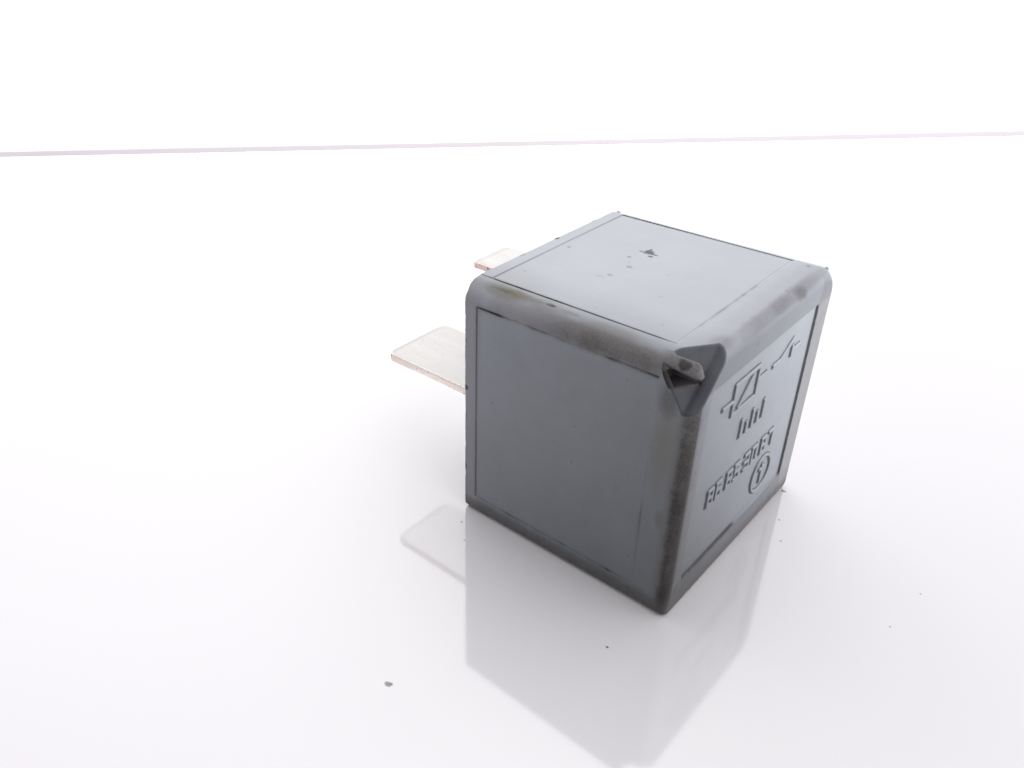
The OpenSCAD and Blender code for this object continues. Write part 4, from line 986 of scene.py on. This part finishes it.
for node, width, finish, slot in (
        ("base_plate", 0.06, base_black, "base_plastic"), ("yoke", 0.12, steel, "magnet_steel"), ("core", 0.1, steel, "magnet_steel"),
        ("armature", 0.12, armature_steel, "magnet_steel"), ("coil_bobbin", 0.1, bobbin_cream, "bobbin_plastic"),
        ("contact_spring", 0.04, bronze, "spring_bronze"), ("moving_contact", 0.16, silver, "contact_silver"),
        ("fixed_contact", 0.16, silver, "contact_silver"), ("armature_rivets", 0.14, brass, "rivet_brass"),
        ("yoke_rivets", 0.14, brass, "rivet_brass"), ("resistor_body", 0.3, resistor_coat(), "resistor_coat")):
    o = refined(node, width, segments=3 if width > 0.11 else 2)
    wear(o, finish)

CY, BOB_0, BOB_1, TURN = -1.6, 5.15, 18.45, 0.322


def stands_for(o, node, finish, ride=True):
    wear(o, finish)
    if ride:
        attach(o, body_of(frame["nodes"][node])[0])
    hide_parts(node)
    return o


# wound turns, and the tape over them with its overlapped end
x0, x1 = BOB_0 + 1.02, BOB_1 - 1.02
count = round((x1 - x0) / TURN)
turn = (x1 - x0) / count
outer = [(x0 + turn * (i + k / 6), 5.9 - turn / 2 + math.sqrt(max(0.0, (turn / 2) ** 2 - (turn * (k / 6 - 0.5)) ** 2)) - 0.001)
         for i in range(count) for k in range(1, 6)]
outer = [(x0, 5.74)] + outer + [(x1, 5.74)]
stands_for(lathe("coil_turns", outer + [(x1, 4.03), (x0, 4.03)], CY, 80), "coil_winding", wire)


def wrap(x, r, a):
    lap = a / (2 * np.pi)
    out = r > 5.96
    r = np.where(out, 5.985 + 0.035 * (1 - lap) + 0.006 * np.cos(x * 2 * np.pi / turn), r)
    return x + 0.05 * np.sin(3 * a) * np.where(out, 1, 0), r


tape_x0, tape_x1 = x0 + 0.56, x1 - 0.56
steps = np.linspace(tape_x0, tape_x1, 90)
tape = lathe("coil_tape_wrap", [(v, 6.0) for v in steps] + [(tape_x1, 5.915), (tape_x0, 5.915)], CY, 96, wrap)
stands_for(tape, "coil_tape", tape_film())

# wire ends
for node, s in (("coil_lead_start", 1), ("coil_lead_finish", -1)):
    path = bezier((6.39, 1.2, 5.3 * s), (6.39, 1.4, 6.6 * s), (6.1, 0.2, 7.5 * s), (6.1, 0.6, 7.88 * s), 28)
    stands_for(tube(node + "_wire", path, 0.158, 12), node, wire)

# the resistor's leads, one mesh
ends = []
for s in (-1, 1):
    a = bezier((6.3, 6.7, 3.18), (6.3, 6.7, 5), (6.3, 6.7, 6.6), (6.3, 6.2, 7.2), 16)
    b = bezier((6.3, 6.2, 7.2), (6.3, 5.6, 7.8), (5.7, 3.4, 7.9), (5.7, 2.6, 7.8), 20, 1)
    path = np.concatenate([a, b]) * np.array([1, 1, s])
    ends.append(tube("resistor_lead", path, 0.245, 14))
bm = bmesh.new()
for o in ends:
    bm.from_mesh(o.data)
    bpy.data.objects.remove(o)
me = bpy.data.meshes.new("resistor_lead_wires")
bm.to_mesh(me)
bm.free()
stands_for(new_object("resistor_lead_wires", me), "resistor_leads", tin_wire)

# the plaited shunt bends between the fixed parts and the armature
turned = math.radians(4)


def swung(x, y):
    dx, dy = x - 19.6, y + 9.5
    return 19.6 + dx * math.cos(turned) + dy * math.sin(turned), -9.5 - dx * math.sin(turned) + dy * math.cos(turned)


bx = swung(21.49, 7.3)[0] + 0.62
path = np.concatenate([
    bezier((8.2, -8.75, 6.54), (8.2, -8.75, 7.6), (8.6, -8.6, 9.6), (11.5, -8.2, 10), 40),
    bezier((11.5, -8.2, 10), (17, -7.4, 10.6), (22.6, -4, 10.8), (22.9, 2, 9.4), 90, 1),
    bezier((22.9, 2, 9.4), (23, 5.4, 8.8), (bx, 7.3, 8), (bx, 7.3, 4), 50, 1),
    np.array([(bx, 7.3, 4 - 0.15 * k) for k in range(1, 15)])])


def plait(u, v):
    over = np.sin(4 * v + 5.2 * u) * np.sin(4 * v - 5.2 * u)
    return 0.955 + 0.045 * over


braid = stands_for(tube("shunt_braid_plait", path, 0.6, 40, shape=plait), "shunt_braid", copper_braid(), ride=False)
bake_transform(braid, "housing", "armature", tuple(row((22, -5, 8))), tuple(row((23, 6.5, 8))))

# the hinge leaf bends about the yoke's edge
leaf = refined("return_spring", 0.05, ride=False)
wear(leaf, bronze)
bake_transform(leaf, "housing", "armature", tuple(row((18.6, -10.2, 0))), tuple(row((21.9, -8.2, 0))))
WORLD = ((0.35, 0.75, 0.55), (-0.15, 0.75, 0.2, 2.1), (0.9, -0.2, 0.4), (0.3, 0.95, 0.0, 1.2), (-0.93, 0.37, 0.0), (0.55, 0.8, 0.0, 0.75), (-0.75, 0.1, 0.65), (0.45, 0.95, 0.0, 1.1))
FLOOR = ((0.398, 0.389, 0.404), 0.07, 1.72)
# crumbs on the table, in row mm: x, y, radius
FLOOR_SPECKS = ((5.18, -36.9, 0.34), (5.38, -36.7, 0.2), (21.7, 7.4, 0.13), (19.95, 12.6, 0.26), (23.3, 4.2, 0.13), (-4.4, -16.3, 0.13), (17.4, -20.4, 0.15), (36.1, -0.4, 0.1), (36.9, 6.0, 0.1), (-2.2, -18.3, 0.12))
# grey tones of the painted shade along the table's far edge, left end and right end
EDGE_PAINTED_SHADE = ((0.34, 0.315, 0.335), (0.43, 0.405, 0.43))
BOUNCE = 0.015


# ---------------------------------------------------------------- camera, floor and light


def camera():
    c = bpy.data.cameras.new("camera")
    o = bpy.data.objects.new("camera", c)
    bpy.context.scene.collection.objects.link(o)
    c.sensor_fit = "HORIZONTAL"
    c.sensor_width = 36.0
    c.lens = 840.09 / 1024 * 36.0
    c.shift_x = (512 - 454.55) / 1024
    c.shift_y = (372.59 - 384) / 1024
    c.clip_start, c.clip_end = 0.005, 20.0
    right = Vector((0.74140178, 0.67102324, -0.00715609))
    down = Vector((0.33780754, -0.38240934, -0.86002858))
    ahead = Vector((-0.57983572, 0.63520934, -0.51019568))
    m = Matrix.Identity(4)
    for i, v in enumerate((right, -down, -ahead)):
        for k in range(3):
            m[k][i] = v[k]
    m.translation = Vector((43.556, -69.797, 61.931)) * 0.001
    o.matrix_world = m
    bpy.context.scene.camera = o


def studio():
    """A bright room behind and to the right, and a dim one on the camera's side."""
    w = bpy.data.worlds.new("studio")
    bpy.context.scene.world = w
    w.use_nodes = True
    t = w.node_tree
    bg = t.nodes["Background"]
    tc = t.nodes.new("ShaderNodeTexCoord")

    def glow(direction, a, b, low, high):
        dot = t.nodes.new("ShaderNodeVectorMath")
        dot.operation = "DOT_PRODUCT"
        t.links.new(tc.outputs["Generated"], dot.inputs[0])
        dot.inputs[1].default_value = Vector(direction).normalized()
        r = t.nodes.new("ShaderNodeMapRange")
        r.interpolation_type = "SMOOTHSTEP"
        t.links.new(dot.outputs["Value"], r.inputs[0])
        for s, v in zip(list(r.inputs)[1:5], (a, b, low, high)):
            s.default_value = v
        return r.outputs[0]

    total = None
    for direction, span in zip(WORLD[::2], WORLD[1::2]):
        g = glow(direction, *span)
        if total is not None:
            add = t.nodes.new("ShaderNodeMath")
            add.operation = "ADD"
            t.links.new(total, add.inputs[0])
            t.links.new(g, add.inputs[1])
            g = add.outputs[0]
        total = g
    t.links.new(total, bg.inputs[1])
    bg.inputs[0].default_value = (1.0, 0.985, 1.0, 1.0)
    bpy.context.scene.view_settings.view_transform = "Standard"


def floor():
    """A pale glossy table top with its far edge in view, and a pale wall beyond."""
    s = 205.0  # the far edge is the line y = x + s, in mm
    mm = 0.001
    across = Vector((1, 1, 0)).normalized() * 3.0
    back = Vector((-1, 1, 0)).normalized()
    mid = Vector((-s / 2, s / 2, 0)) * mm
    prof = [(0.0, -3.0, 0.0), (-2.0 * mm, 0, 0.0), (-1.0 * mm, 0, -0.25 * mm), (-0.3 * mm, 0, -0.9 * mm), (0, 0, -2.0 * mm), (0, 0, -0.02)]
    pts = []
    for d in (-1, 1):
        pts.append(mid - back * 4.0 + across * d)
        for q in prof[1:]:
            pts.append(mid + back * q[0] + Vector((0, 0, q[2])) + across * d)
    n = len(prof)
    me = bpy.data.meshes.new("floor")
    me.from_pydata([tuple(p) for p in pts], [], [(k, k + n, k + n + 1, k + 1) for k in range(n - 1)])
    me.polygons.foreach_set("use_smooth", [k > 0 for k in range(len(me.polygons))])
    o = new_object("floor", me)
    g = Graph("floor_white")
    spots = g.noise(0.02, 2.0, 0.5)
    colour = g.shade(FLOOR[0], 1.0)
    for px, py, r in FLOOR_SPECKS:
        colour = g.mix(colour, (0.03, 0.025, 0.02), g.blob((px - ORIGIN[0], py - ORIGIN[1], -ORIGIN[2]), (r, r * 0.7, 1.0), 0.4, (spots - 0.5) * 0.5) * 0.85)
    wear(o, g.done(colour, FLOOR[1] + (spots - 0.5) * 0.04, ior=FLOOR[2]))
    # a dull grey strip let in along the far edge: painted shade that stands for the table's shaded far edge, darker
    # towards the left
    me = bpy.data.meshes.new("floor_edge_strip")
    low, high = back * (144.9 - 4.3) * mm, back * 144.7 * mm
    lift = Vector((0, 0, 0.04 * mm))
    strip = [low - across, low + across, low - across + lift, low + across + lift, high - across + lift, high + across + lift]
    me.from_pydata([tuple(p) for p in strip], [], [(0, 1, 3, 2), (2, 3, 5, 4)])
    o = new_object("floor_edge_strip", me)
    g = Graph("floor_edge_painted_shade")
    fade = g.step(g.x + g.y, -240.0, 120.0)
    worn = g.noise(0.02, 4.0, 0.6, stretch=(1.0, 1.0, 1.0)) - 0.5
    colour = g.mix(EDGE_PAINTED_SHADE[0], EDGE_PAINTED_SHADE[1], (fade + worn * 0.7).clamp())
    wear(o, g.done(colour, 0.85 + worn * 0.1, ior=1.2))


def bounce():
    """Light thrown up from the table behind the blades on to their undersides."""
    l = bpy.data.lights.new("table_bounce", "AREA")
    l.shape = "RECTANGLE"
    l.size, l.size_y = 0.034, 0.05
    l.energy = BOUNCE
    o = bpy.data.objects.new("table_bounce", l)
    bpy.context.scene.collection.objects.link(o)
    o.location = (-0.027, 0.008, 0.0006)
    o.rotation_mode = "XYZ"
    o.rotation_euler = (math.pi, 0.0, math.radians(45))
    o.visible_camera = False
    o.visible_glossy = True


camera()
studio()
bounce()
floor()
